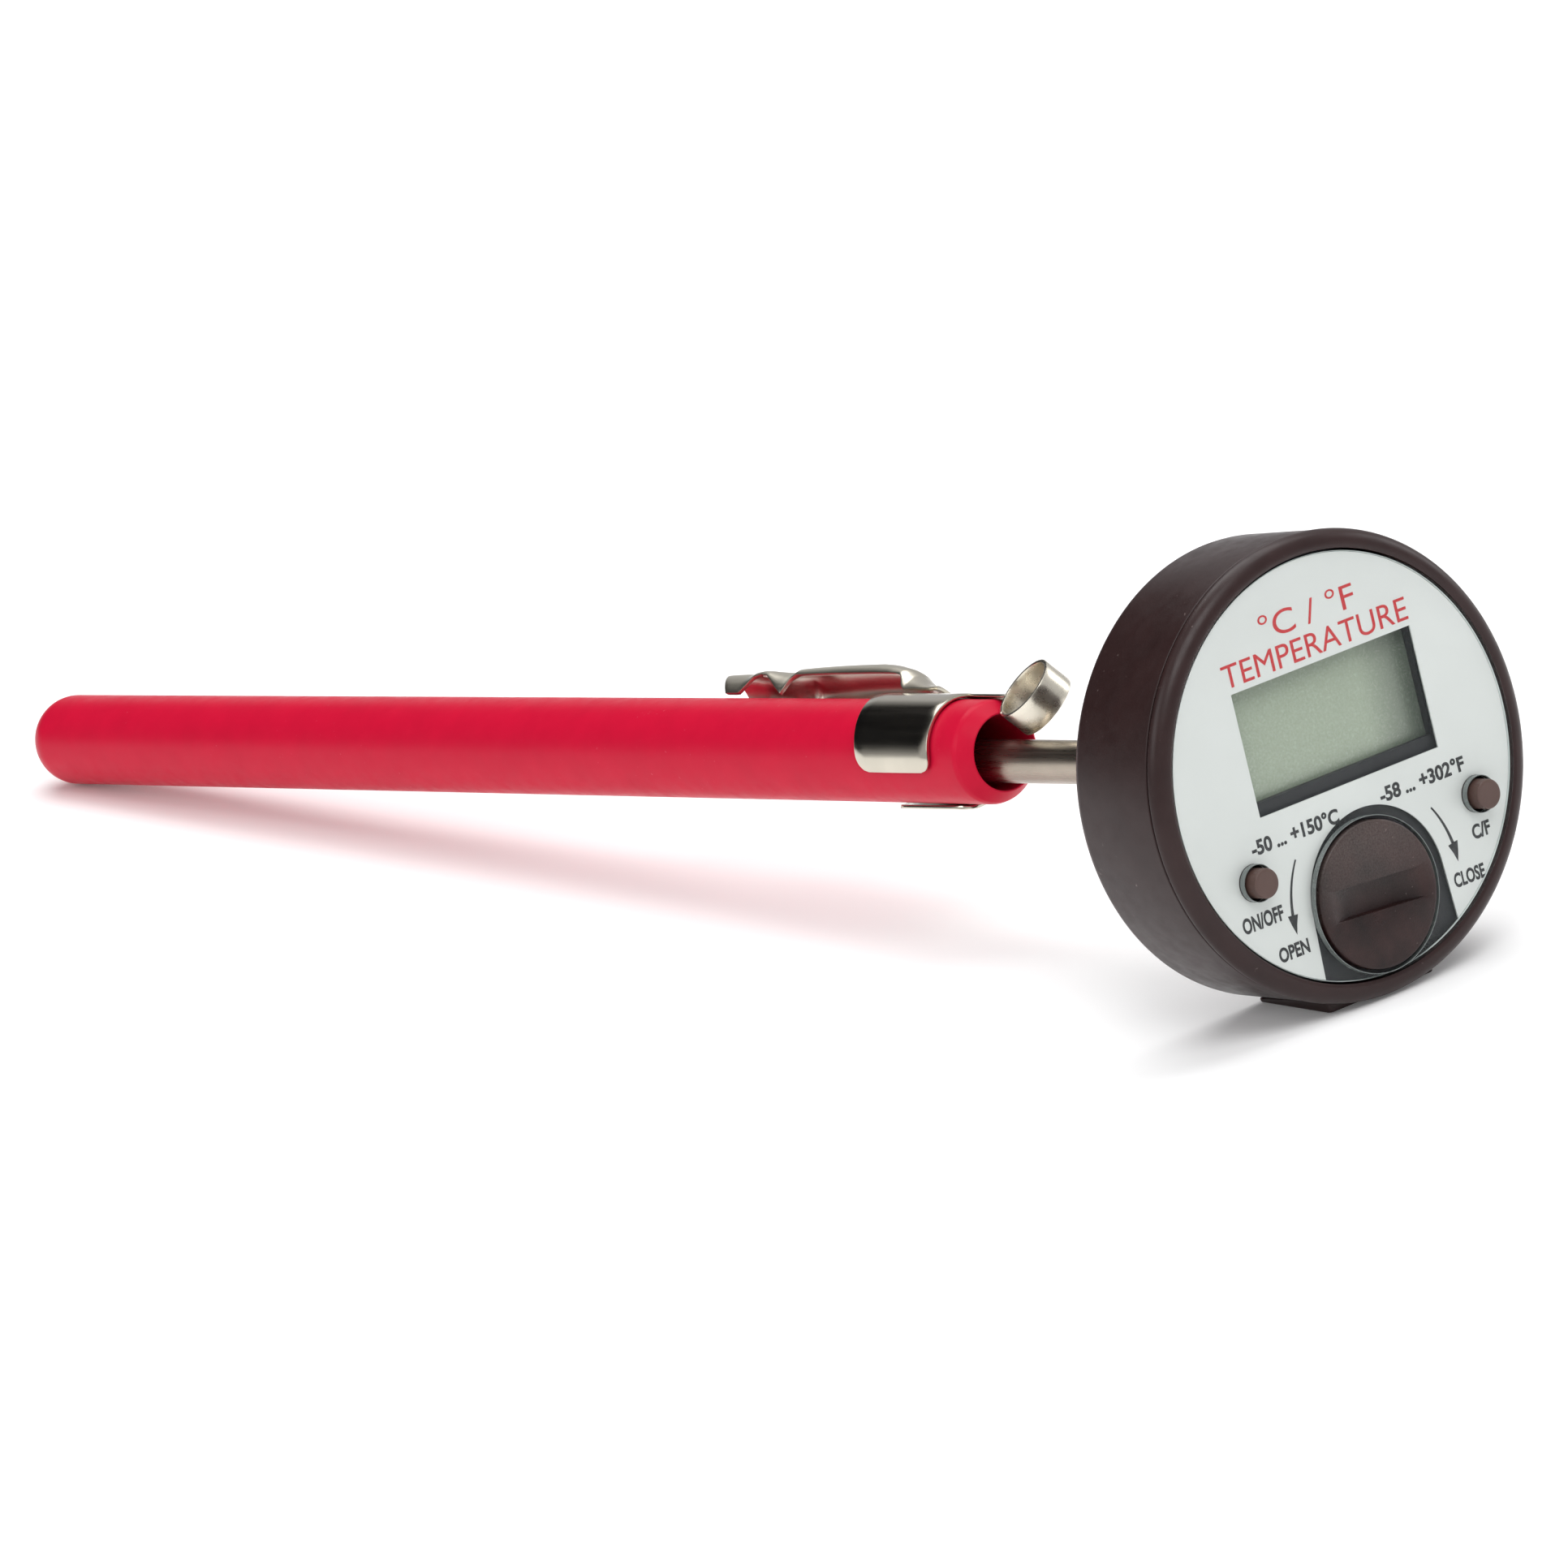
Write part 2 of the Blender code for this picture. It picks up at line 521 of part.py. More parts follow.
def make_cell_and_contacts(group):
    can_back = CELL_FRONT - CELL_HEIGHT + 0.7 * MM
    soft = 0.4 * MM
    profile = [(0.0, CELL_FRONT), *arc((CELL_RADIUS - soft, CELL_FRONT - soft), (soft, soft), 90, 0, 3)]
    profile += [(CELL_RADIUS, can_back), (4.9 * MM, can_back - 0.1 * MM)]
    profile += [(4.6 * MM, CELL_FRONT - CELL_HEIGHT)]
    profile += [(0.0, CELL_FRONT - CELL_HEIGHT)]
    turned("battery_cell", profile, ((0.68, 0.68, 0.66), 0.25, 1.0), group, MEDIUM, centre=WELL_CENTRE)
    brass = ((0.75, 0.62, 0.32), 0.3, 1.0)
    leaf_back = WELL_FLOOR + 0.15 * MM
    leaf_crest = CELL_FRONT - CELL_HEIGHT - 0.25 * MM
    rows = []
    for i in range(13):
        along = -4.2 * MM + 8.4 * MM * i / 12
        lift = cos(pi * along / (8.4 * MM)) ** 2
        x = leaf_back + (leaf_crest - 0.2 * MM - leaf_back) * lift
        rows.append([(x, along, WELL_CENTRE[1] + 1.3 * MM), (x, along, WELL_CENTRE[1] - 1.3 * MM)])
    sheet_object("battery_contact_negative", rows, 0.2 * MM, brass, group)
    leaf_y = WELL_CENTRE[1] + CELL_RADIUS + 0.5 * MM
    box("battery_contact_positive", (2.0 * MM, 2.0 * MM, 0.4 * MM), (-8.2 * MM, 0.0, leaf_y), brass, group)


# ---- stem ---------------------------------------------------------------------------------
def make_stem(group):
    inner_end = HEAD_BACK + 4.2 * MM
    tip = HEAD_BACK - STEM_LENGTH
    steel = ((0.62, 0.61, 0.58), 0.28, 1.0)
    nose = arc((0.0, tip + STEM_RADIUS), (STEM_RADIUS, STEM_RADIUS), 0, -90, 6)
    hollow = arc((0.0, tip + STEM_RADIUS), (STEM_BORE, STEM_BORE), -90, 0, 4)
    profile = [*nose, *hollow, (STEM_BORE, inner_end), (STEM_RADIUS, inner_end)]
    turned("probe_tube", profile, steel, group, COARSE)
    collar_front = inner_end - 0.5 * MM
    collar_back = HEAD_BACK + BACK_WALL + 1.8 * MM + 0.15 * MM
    hole = STEM_RADIUS + 0.15 * MM
    collar = [(hole, collar_front), (3.4 * MM, collar_front), (3.4 * MM, collar_back), (hole, collar_back)]
    turned("stem_collar", collar, steel, group, COARSE)
    bead_x = tip + 3.6 * MM
    bead = arc((0.0, bead_x), (1.1 * MM, 1.3 * MM), 90, -90, 8)
    turned("thermistor_bead", bead, ((0.03, 0.03, 0.03), 0.35), group, 16)
    plug_back = bead_x + 1.8 * MM
    plug_front = plug_back + 6.0 * MM
    plug = [(0.75 * MM, plug_front), (1.3 * MM, plug_front), (1.3 * MM, plug_back), (0.75 * MM, plug_back)]
    turned("potting_plug", plug, ((0.6, 0.5, 0.3), 0.4), group, 16)
    lead_start = Vector((bead_x + 1.6 * MM, 0.0, 0.0))
    bend = [(-10.2, 0.0, 0.0), (-8.8, -0.4, 0.5), (-8.2, -1.6, 1.8), (-8.15, -3.4, 3.6), (-8.15, -4.2, 4.3)]
    points = [lead_start, *[Vector(point) * MM for point in bend]]
    wire("thermistor_lead", 0.4 * MM, points, ((0.35, 0.02, 0.02), 0.5), group)


# ---- sheath -------------------------------------------------------------------------------
def make_sheath(group):
    """Long cup, slightly tapered, with a chamfered mouth and a round closed end."""
    end = SHEATH_MOUTH - SHEATH_LENGTH
    nose = arc((0.0, end + SHEATH_TIP_RADIUS), (SHEATH_TIP_RADIUS, SHEATH_TIP_RADIUS), 0, -90, 8)
    hollow = arc((0.0, end + SHEATH_TIP_RADIUS), (SHEATH_BORE, SHEATH_BORE), -90, 0, 5)
    lip = [(SHEATH_BORE, SHEATH_MOUTH), (SHEATH_BORE + 0.12 * MM, SHEATH_MOUTH)]
    shoulder = [(4.6 * MM, SHEATH_MOUTH - 1.2 * MM), (SHEATH_MOUTH_RADIUS, SHEATH_MOUTH - 1.6 * MM)]
    profile = [*lip, *shoulder, *nose, *hollow]
    turned("sheath", profile, ((0.62, 0.02, 0.045), 0.35), group, 48, origin=(0.0, 0.0, SHEATH_DROP))


# ---- pocket clip --------------------------------------------------------------------------
NICKEL = ((0.66, 0.64, 0.58), 0.18, 1.0)


def around_sheath(x, radius, turn):
    """World point at a distance from the sheath's axis, turned from +Z towards +Y."""
    return Vector((x, radius * sin(turn), SHEATH_DROP + radius * cos(turn)))


def band_sheet(group):
    """C-shaped band whose wings wrap the sheath, with rounded corners."""
    count = 44
    corner = 1.6 * MM
    rows = []
    for i in range(count + 1):
        part = -1.0 + 2.0 * i / count
        turn = BAND_TURN + BAND_HALF_WRAP * part
        to_end = (1.0 - abs(part)) * BAND_HALF_WRAP * BAND_INNER
        short = max(corner - to_end, 0.0)
        inset = corner - sqrt(corner ** 2 - short ** 2)
        crown = 1.5 * MM * max(0.0, cos(part * pi / 2)) ** 2
        low = BAND_ENDS[0] - crown + inset
        high = BAND_ENDS[1] - inset
        steps = 4
        places = [low + (high - low) * j / steps for j in range(steps + 1)]
        rows.append([around_sheath(x, BAND_INNER, turn) for x in places])
    return sheet_object("pocket_clip", rows, SHEET, NICKEL, group)


def ring_frame():
    """Unit vectors of the ring's plane: along the sheath, and outwards."""
    along = (Vector((1, 0, 0)) - RING_AXIS * RING_AXIS.x).normalized()
    outward = RING_AXIS.cross(along).normalized()
    if outward.z < 0:
        outward = -outward
    return along, outward


def ring_sheet(group):
    """Eye at the mouth: a curled strip that is open at a narrow seam."""
    along, outward = ring_frame()
    start = radians(240.0)
    sweep = radians(354.0)
    inner = RING_RADIUS - SHEET
    rows = []
    count = 40
    for i in range(count + 1):
        angle = start + sweep * i / count
        centre = RING_CENTRE + (along * cos(angle) + outward * sin(angle)) * inner
        rows.append([centre + RING_AXIS * RING_WIDTH / 2, centre - RING_AXIS * RING_WIDTH / 2])
    return sheet_object("ring_block", rows, SHEET, None, group)


def strap_sheet(group):
    """Strap that joins the band to the ring across the mouth's edge."""
    along, _ = ring_frame()
    touch = RING_CENTRE - along * (RING_RADIUS - SHEET / 2)
    middle = atan2(touch.y, touch.z - SHEATH_DROP)
    radius = BAND_INNER + 0.04 * MM
    half_turn = asin(RING_WIDTH / 2 / radius)
    rows = []
    for i in range(9):
        turn = middle + half_turn * (-1.0 + i / 4)
        beside = (middle - turn) * radius
        end = touch.x + RING_AXIS.x * beside
        begin = BAND_ENDS[1] - 1.2 * MM
        rows.append([around_sheath(begin + (end - begin) * j / 3, radius, turn) for j in range(4)])
    return sheet_object("strap_block", rows, SHEET - 0.08 * MM, None, group)


def make_pocket_clip(group, cutters):
    clip = band_sheet(group)
    boolean(clip, strap_sheet(cutters), "UNION")
    boolean(clip, ring_sheet(cutters), "UNION")


def tongue_stations():
    """(x, crest height, depth of the turned-down sides, half width) from the tip to the root."""
    return [
        (-95.6, 6.95, 1.4, 1.8), (-94.9, 7.1, 2.2, 2.0), (-93.2, 7.4, 2.8, 2.0), (-91.9, 7.45, 2.5, 2.0),
        (-90.9, 7.45, 2.0, 2.0), (-89.9, 7.45, 1.1, 2.0), (-88.9, 7.45, 0.8, 2.0), (-88.0, 7.5, 0.95, 2.0),
        (-86.9, 7.6, 1.65, 2.0), (-86.0, 7.65, 2.25, 2.0), (-84.5, 7.75, 3.15, 2.0), (-84.1, 7.8, 1.7, 2.0),
        (-83.5, 7.85, 1.2, 2.0), (-81.0, 8.1, 1.35, 2.0), (-78.0, 8.3, 1.45, 2.0), (-75.0, 8.45, 1.55, 2.0),
        (-72.0, 8.55, 1.6, 2.0), (-70.5, 8.45, 1.5, 2.0), (-69.4, 8.3, 1.35, 2.0), (-68.2, 8.05, 1.15, 1.95),
        (-67.6, 7.95, 1.2, 1.95), (-67.2, 7.85, 1.6, 1.9), (-66.8, 7.7, 2.0, 1.9), (-66.3, 7.4, 2.1, 1.85),
        (-65.4, 7.0, 1.65, 1.8), (-64.4, 6.55, 1.2, 1.8), (-63.4, 6.15, 0.8, 1.8), (-62.4, 5.85, 0.5, 1.8),
        (-61.4, 5.7, 0.2, 1.8),
    ]


def make_clip_tongue(group):
    """Spring arm with turned-down sides, two feet on the sheath and a neck down to the band."""
    radial = Vector((0.0, sin(TONGUE_TURN), cos(TONGUE_TURN)))
    sideways = Vector((0.0, -cos(TONGUE_TURN), sin(TONGUE_TURN)))
    axis_point = Vector((0.0, 0.0, SHEATH_DROP))
    count = 10
    rows = []
    for x, crest, drop, half_width in tongue_stations():
        row = []
        for j in range(count + 1):
            angle = pi / 2 * (-1.0 + 2.0 * j / count)
            height = (crest - drop * (1.0 - cos(angle))) * MM
            point = Vector((x * MM, 0.0, 0.0)) + axis_point
            row.append(point + radial * height + sideways * half_width * MM * sin(angle))
        rows.append(row)
    sheet_object("clip_tongue", rows, SHEET, NICKEL, group)


def put_origins_on_joints():
    """Give the moving sheets an origin on their joint's axis; turned pieces have theirs already."""
    pivot = around_sheath(-61.4 * MM, 5.5 * MM, TONGUE_TURN)
    origins = {"clip_tongue": pivot, "pocket_clip": Vector((SHEATH_MOUTH, 0.0, SHEATH_DROP))}
    for name, origin in origins.items():
        obj = bpy.data.objects[name]
        obj.data.transform(Matrix.Translation(-origin))
        obj.location = origin


def main():
    clear_scene()
    parts = new_collection("stem_thermometer")
    cutters = new_collection("cutters")
    make_front_bezel(parts)
    make_rear_housing(parts, cutters)
    make_face_lens(parts)
    make_dial_label(parts)
    make_inner_frame(parts, cutters)
    make_lcd(parts, cutters)
    make_circuit_board(parts)
    make_board_screws(parts)
    make_buttons(parts)
    make_battery_cap(parts, cutters)
    make_cap_seal(parts)
    make_cell_and_contacts(parts)
    make_stem(parts)
    make_sheath(parts)
    make_pocket_clip(parts, cutters)
    make_clip_tongue(parts)
    put_origins_on_joints()
    cutter_group_hidden(cutters)


main()
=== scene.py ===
"""Looks of the digital stem thermometer: finer meshes, materials, floor, lights and camera.

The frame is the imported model's, in metres: +X out of the dial along the stem, +Z up the dial and +Y to
the dial's right. The head's pieces are turned about X, and each is built where the frame says.
"""
from math import acos, asin, atan2, cos, hypot, pi, radians, sin, sqrt

import bmesh
import bpy
from mathutils import Matrix, Vector


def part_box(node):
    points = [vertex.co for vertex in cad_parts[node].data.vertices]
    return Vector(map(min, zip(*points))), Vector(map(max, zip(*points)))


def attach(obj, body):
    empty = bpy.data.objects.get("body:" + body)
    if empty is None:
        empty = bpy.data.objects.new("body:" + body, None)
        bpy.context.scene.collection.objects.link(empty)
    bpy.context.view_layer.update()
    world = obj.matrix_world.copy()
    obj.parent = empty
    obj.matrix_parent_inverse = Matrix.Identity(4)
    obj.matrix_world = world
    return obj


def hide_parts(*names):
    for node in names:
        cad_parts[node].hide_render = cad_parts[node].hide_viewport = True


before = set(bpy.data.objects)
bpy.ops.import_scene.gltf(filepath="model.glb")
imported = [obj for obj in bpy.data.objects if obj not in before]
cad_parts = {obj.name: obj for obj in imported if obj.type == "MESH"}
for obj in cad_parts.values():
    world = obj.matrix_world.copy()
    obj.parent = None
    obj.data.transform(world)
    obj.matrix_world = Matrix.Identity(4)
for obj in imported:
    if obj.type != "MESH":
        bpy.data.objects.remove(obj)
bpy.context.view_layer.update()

MM = 0.001
WELD = 0.0005 * MM


def corners(node):
    low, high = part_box(node)
    return low, high, (low + high) / 2


# ---- places read from the frame -----------------------------------------------------------
_, BEZEL_HIGH, _ = corners("front_bezel")
HOUSING_LOW, _, _ = corners("rear_housing")
_, LENS_HIGH, _ = corners("face_lens")
_, LABEL_HIGH, _ = corners("dial_label")
LCD_LOW, LCD_HIGH, LCD_MIDDLE = corners("lcd_glass")
_, _, WINDOW_MIDDLE = corners("lcd_frame")
CAP_LOW, CAP_HIGH, CAP_MIDDLE = corners("battery_cap")
SHEATH_LOW, SHEATH_HIGH, SHEATH_MIDDLE = corners("sheath")
STEM_LOW, STEM_HIGH, _ = corners("probe_tube")

HEAD_RADIUS = BEZEL_HIGH.y
HEAD_BACK = HOUSING_LOW.x
LENS_RADIUS = LENS_HIGH.y
LABEL_RADIUS = LABEL_HIGH.y
LABEL_FRONT = LABEL_HIGH.x
CAP_CENTRE = (0.0, CAP_MIDDLE.z)
CAP_RADIUS = CAP_HIGH.y
CAP_FRONT = CAP_HIGH.x
LENS_HOLE = CAP_RADIUS + 0.35 * MM
STEM_RADIUS = STEM_HIGH.z
SHEATH_MOUTH = SHEATH_HIGH.x
SHEATH_END = SHEATH_LOW.x
SHEATH_MOUTH_RADIUS = SHEATH_HIGH.y
SHEATH_TIP_RADIUS = SHEATH_MOUTH_RADIUS - 0.37 * MM
SHEATH_BORE = 3.5 * MM
SHEATH_DROP = SHEATH_MIDDLE.z

PARTING = -1.75 * MM
LIP_RADIUS = 19.25 * MM
WINDOW_SIZE = (21.0 * MM, 11.3 * MM)
BUTTON_HOLE = 1.65 * MM
FOOT_FRONT = -2.6 * MM
FOOT_HALF_WIDTH = 6.2 * MM
FACE_TURN = (pi / 2, 0.0, pi / 2)


# ---- mesh helpers -------------------------------------------------------------------------
def dress(obj, material, body, slot_name, *replaced):
    """Give a piece its material, its body and the CAD nodes it replaces."""
    obj.data.materials.clear()
    obj.data.materials.append(material)
    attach(obj, body)
    if replaced:
        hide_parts(*replaced)


def mesh_piece(name, bm, sharp=35.0):
    mesh = bpy.data.meshes.new(name)
    bmesh.ops.recalc_face_normals(bm, faces=bm.faces)
    bm.to_mesh(mesh)
    bm.free()
    mesh.shade_smooth()
    mesh.set_sharp_from_angle(angle=radians(sharp))
    obj = bpy.data.objects.new(name, mesh)
    bpy.context.scene.collection.objects.link(obj)
    return obj


def applied(obj, sharp=35.0, *cutters):
    """Apply an object's modifiers to its mesh, shade it, and remove the cutters that they used."""
    bpy.context.view_layer.update()
    source = obj.evaluated_get(bpy.context.evaluated_depsgraph_get())
    mesh = bpy.data.meshes.new_from_object(source)
    obj.modifiers.clear()
    obj.data = mesh
    mesh.shade_smooth()
    mesh.set_sharp_from_angle(angle=radians(sharp))
    for cutter in cutters:
        bpy.data.objects.remove(cutter, do_unlink=True)
    return obj


def round_edges(obj, width, segments, sharper_than):
    """Bevel the edges whose faces meet at more than an angle in degrees."""
    bevel = obj.modifiers.new("Bevel", "BEVEL")
    bevel.width = width
    bevel.segments = segments
    bevel.limit_method = "ANGLE"
    bevel.angle_limit = radians(sharper_than)


def arc(centre, radii, start, end, count):
    """Points of an ellipse's arc, from one angle to another in degrees."""
    points = []
    for i in range(count + 1):
        angle = radians(start + (end - start) * i / count)
        points.append((centre[0] + radii[0] * cos(angle), centre[1] + radii[1] * sin(angle)))
    return points


def softened(points, steps=4):
    """A profile whose corners (radius, x, round) are rounded by a short curve."""
    out = []
    last = len(points) - 1
    for i, point in enumerate(points):
        size = point[2] if len(point) > 2 else 0.0
        here = Vector(point[:2])
        if size == 0.0 or i in (0, last):
            out.append(tuple(here))
            continue
        before = here + (Vector(points[i - 1][:2]) - here).normalized() * size
        after = here + (Vector(points[i + 1][:2]) - here).normalized() * size
        for k in range(steps + 1):
            t = k / steps
            out.append(tuple(before * (1 - t) ** 2 + here * (2 * t * (1 - t)) + after * t ** 2))
    return out


def on_axis(points):
    """A profile whose radii are exactly zero where they meet the axis."""
    return [(0.0 if radius < 0.0001 * MM else radius, x) for radius, x in points]


def lathe(name, profile, segments, centre=(0.0, 0.0), closed=False, sharp=35.0):
    """A profile of (radius, x) points turned about X through the centre (y, z)."""
    bm = bmesh.new()
    rings = []
    for radius, x in profile:
        count = segments if radius > 0.0 else 1
        ring = []
        for i in range(count):
            angle = 2 * pi * i / segments
            ring.append(bm.verts.new((x, centre[0] + radius * cos(angle), centre[1] + radius * sin(angle))))
        rings.append(ring)
    pairs = list(zip(rings, rings[1:]))
    if closed:
        pairs.append((rings[-1], rings[0]))
    for ring, following in pairs:
        if len(ring) == 1 and len(following) == 1:
            continue
        for i in range(segments):
            j = (i + 1) % segments
            near = [ring[i % len(ring)], ring[j % len(ring)]]
            far = [following[j % len(following)], following[i % len(following)]]
            bm.faces.new(list(dict.fromkeys(near + far)))
    return mesh_piece(name, bm, sharp)


def circle_points(radius, centre, count):
    return [(centre[0] + radius * cos(2 * pi * i / count), centre[1] + radius * sin(2 * pi * i / count))
            for i in range(count)]


def rectangle_points(size, centre):
    signs = ((-1, -1), (1, -1), (1, 1), (-1, 1))
    return [(centre[0] + sx * size[0] / 2, centre[1] + sy * size[1] / 2) for sx, sy in signs]


def flat_plate(name, outlines, front, depth, edge=0.0):
    """A flat piece facing +X: the first outline is its edge, the others are holes."""
    curve = bpy.data.curves.new(name, "CURVE")
    curve.dimensions = "2D"
    curve.fill_mode = "BOTH"
    curve.extrude = depth / 2 - edge
    curve.bevel_depth = edge
    curve.bevel_resolution = 2
    curve.offset = -edge
    for outline in outlines:
        spline = curve.splines.new("POLY")
        spline.points.add(len(outline) - 1)
        spline.use_cyclic_u = True
        for point, (x, y) in zip(spline.points, outline):
            point.co = (x, y, 0.0, 1.0)
    shape = bpy.data.objects.new(name + "_outline", curve)
    bpy.context.scene.collection.objects.link(shape)
    shape.location = (front - depth / 2, 0.0, 0.0)
    shape.rotation_euler = FACE_TURN
    bpy.context.view_layer.update()
    mesh = bpy.data.meshes.new_from_object(shape.evaluated_get(bpy.context.evaluated_depsgraph_get()))
    mesh.transform(shape.matrix_world)
    bpy.data.objects.remove(shape, do_unlink=True)
    bm = bmesh.new()
    bm.from_mesh(mesh)
    bmesh.ops.remove_doubles(bm, verts=bm.verts, dist=WELD)
    bpy.data.meshes.remove(mesh)
    return mesh_piece(name, bm, 30.0)


def sheet_piece(name, rows, thickness):
    """A curved sheet from a grid of inner-surface points, thickened outwards, with rounded edges."""
    bm = bmesh.new()
    grid = [[bm.verts.new(point) for point in row] for row in rows]
    for upper, lower in zip(grid, grid[1:]):
        for i in range(len(upper) - 1):
            bm.faces.new((upper[i], upper[i + 1], lower[i + 1], lower[i]))
    mesh = bpy.data.meshes.new(name)
    bm.to_mesh(mesh)
    bm.free()
    obj = bpy.data.objects.new(name, mesh)
    bpy.context.scene.collection.objects.link(obj)
    solid = obj.modifiers.new("Solidify", "SOLIDIFY")
    solid.thickness = thickness
    solid.offset = 1.0
    round_edges(obj, 0.07 * MM, 2, 50)
    return obj


# ---- materials ----------------------------------------------------------------------------
class Nodes:
    """A short way to add and join shader nodes."""

    def __init__(self, name):
        self.material = bpy.data.materials.new(name)
        self.material.use_nodes = True
        self.tree = self.material.node_tree
        self.shader = self.tree.nodes["Principled BSDF"]
        self.place = self.tree.nodes.new("ShaderNodeTexCoord").outputs["Object"]

    def add(self, kind, **values):
        node = self.tree.nodes.new("ShaderNode" + kind)
        for key, value in values.items():
            if key in node.inputs:
                node.inputs[key].default_value = value
            else:
                setattr(node, key, value)
        return node

    def join(self, start, end):
        self.tree.links.new(start, end)

    def stretched(self, scale):
        node = self.add("Mapping")
        node.inputs["Scale"].default_value = scale
        self.join(self.place, node.inputs["Vector"])
        return node.outputs["Vector"]

    def noise(self, scale, detail=3.0, rough=0.55, vector=None):
        node = self.add("TexNoise", Scale=scale, Detail=detail, Roughness=rough)
        self.join(vector or self.place, node.inputs["Vector"])
        return node.outputs["Fac"]

    def ramp(self, factor, stops):
        node = self.add("ValToRGB")
        elements = node.color_ramp.elements
        while len(elements) < len(stops):
            elements.new(0.5)
        for element, (position, colour) in zip(elements, stops):
            element.position = position
            element.color = (*colour, 1.0)
        self.join(factor, node.inputs["Fac"])
        return node.outputs["Color"]

    def span(self, factor, low, high, start=0.3, end=0.7):
        node = self.add("MapRange")
        node.inputs["From Min"].default_value = start
        node.inputs["From Max"].default_value = end
        node.inputs["To Min"].default_value = low
        node.inputs["To Max"].default_value = high
        self.join(factor, node.inputs["Value"])
        return node.outputs["Result"]

    def mix(self, factor, first, second, blend="MIX"):
        node = self.tree.nodes.new("ShaderNodeMix")
        node.data_type = "RGBA"
        node.blend_type = blend
        for value, index in ((factor, 0), (first, 6), (second, 7)):
            if isinstance(value, bpy.types.NodeSocket):
                self.join(value, node.inputs[index])
            elif index == 0:
                node.inputs[index].default_value = value
            else:
                node.inputs[index].default_value = (*value, 1.0)
        return node.outputs[2]

    def bump(self, height, strength, distance, before=None):
        node = self.add("Bump", Strength=strength, Distance=distance)
        self.join(height, node.inputs["Height"])
        if before is not None:
            self.join(before, node.inputs["Normal"])
        return node.outputs["Normal"]

    def set(self, **sockets):
        for key, value in sockets.items():
            socket = self.shader.inputs[key.replace("_", " ")]
            if isinstance(value, bpy.types.NodeSocket):
                self.join(value, socket)
            else:
                socket.default_value = value
        return self.material


def shade(colour, amount):
    return tuple(min(channel * amount, 1.0) for channel in colour)


def moulded_plastic(name, colour, roughness, mottle=0.12, grain=0.25, marks=0.25,
                    mark_colour=(0.5, 0.4, 0.38), gloss=0.5, dust_and_top_light=None):
    """Satin moulded plastic: faint mottling, a fine grain, a few pale nicks, and above a height a pale dust
    mottle whose rise towards the top is painted light from above.
    """
    nodes = Nodes(name)
    broad = nodes.noise(260.0, 4.0)
    tone = nodes.ramp(broad, [(0.3, shade(colour, 1.0 - mottle)), (0.7, shade(colour, 1.0 + mottle))])
    chips = nodes.noise(2300.0, 2.0, 0.6)
    clusters = nodes.noise(120.0, 2.0)
    chip_mask = nodes.span(chips, 0.0, marks, 0.70, 0.77)
    cluster_mask = nodes.span(clusters, 0.0, 1.0, 0.5, 0.66)
    gate = nodes.add("Math", operation="MULTIPLY")
    nodes.join(chip_mask, gate.inputs[0])
    nodes.join(cluster_mask, gate.inputs[1])
    tone = nodes.mix(gate.outputs[0], tone, mark_colour)
    # Pale film above a height: its mottle is dust, and its growth towards the top is painted light from
    # above.
    if dust_and_top_light:
        split = nodes.add("SeparateXYZ")
        nodes.join(nodes.place, split.inputs[0])
        dust_and_light_film = nodes.add("Math", operation="MULTIPLY")
        nodes.join(nodes.span(split.outputs["Z"], 0.0, 0.5, *dust_and_top_light), dust_and_light_film.inputs[0])
        nodes.join(nodes.span(nodes.noise(5600.0, 4.0, 0.7), 0.3, 0.8, 0.36, 0.64), dust_and_light_film.inputs[1])
        tone = nodes.mix(dust_and_light_film.outputs[0], tone, DUST_AND_TOP_LIGHT)
    rough = nodes.span(nodes.noise(700.0, 3.0), roughness - 0.05, roughness + 0.06)
    fine = nodes.noise(9000.0, 2.0, 0.5)
    wave = nodes.noise(140.0, 2.0)
    normal = nodes.bump(wave, 0.10, 0.0004)
    normal = nodes.bump(fine, grain, 0.00003, normal)
    return nodes.set(Base_Color=tone, Roughness=rough, Normal=normal, Specular_IOR_Level=gloss)


def plated_metal(name, colour, roughness, scratch_axis=(40.0, 1400.0, 1400.0), scratches=0.12):
    """Bright metal with fine lengthwise scratches and slight tarnish."""
    nodes = Nodes(name)
    lines = nodes.noise(1.0, 4.0, 0.7, nodes.stretched(scratch_axis))
    clouds = nodes.noise(180.0, 3.0)
    tone = nodes.ramp(clouds, [(0.35, shade(colour, 0.88)), (0.65, colour)])
    rough = nodes.span(lines, roughness, roughness + scratches, 0.4, 0.75)
    normal = nodes.bump(lines, 0.06, 0.00002)
    normal = nodes.bump(nodes.noise(160.0, 2.0), 0.06, 0.0002, normal)
    return nodes.set(Base_Color=tone, Roughness=rough, Metallic=1.0, Normal=normal)


def label_foil():
    nodes = Nodes("label_foil")
    tone = nodes.ramp(nodes.noise(90.0, 2.0), [(0.3, (0.595, 0.625, 0.605)), (0.7, (0.625, 0.655, 0.635))])
    fine = nodes.noise(6000.0, 2.0)
    rough = nodes.span(fine, 0.38, 0.5)
    return nodes.set(Base_Color=tone, Roughness=rough, Metallic=0.15, Normal=nodes.bump(fine, 0.05, 0.00002))


def clear_lens():
    nodes = Nodes("clear_lens")
    haze = nodes.noise(50.0, 3.0)
    tone = nodes.ramp(haze, [(0.3, (0.50, 0.56, 0.55)), (0.7, (0.60, 0.66, 0.65))])
    rough = nodes.span(nodes.noise(900.0, 4.0), 0.03, 0.07)
    material = nodes.set(Base_Color=tone, Roughness=rough, Alpha=0.02)
    material.surface_render_method = "BLENDED"
    return material


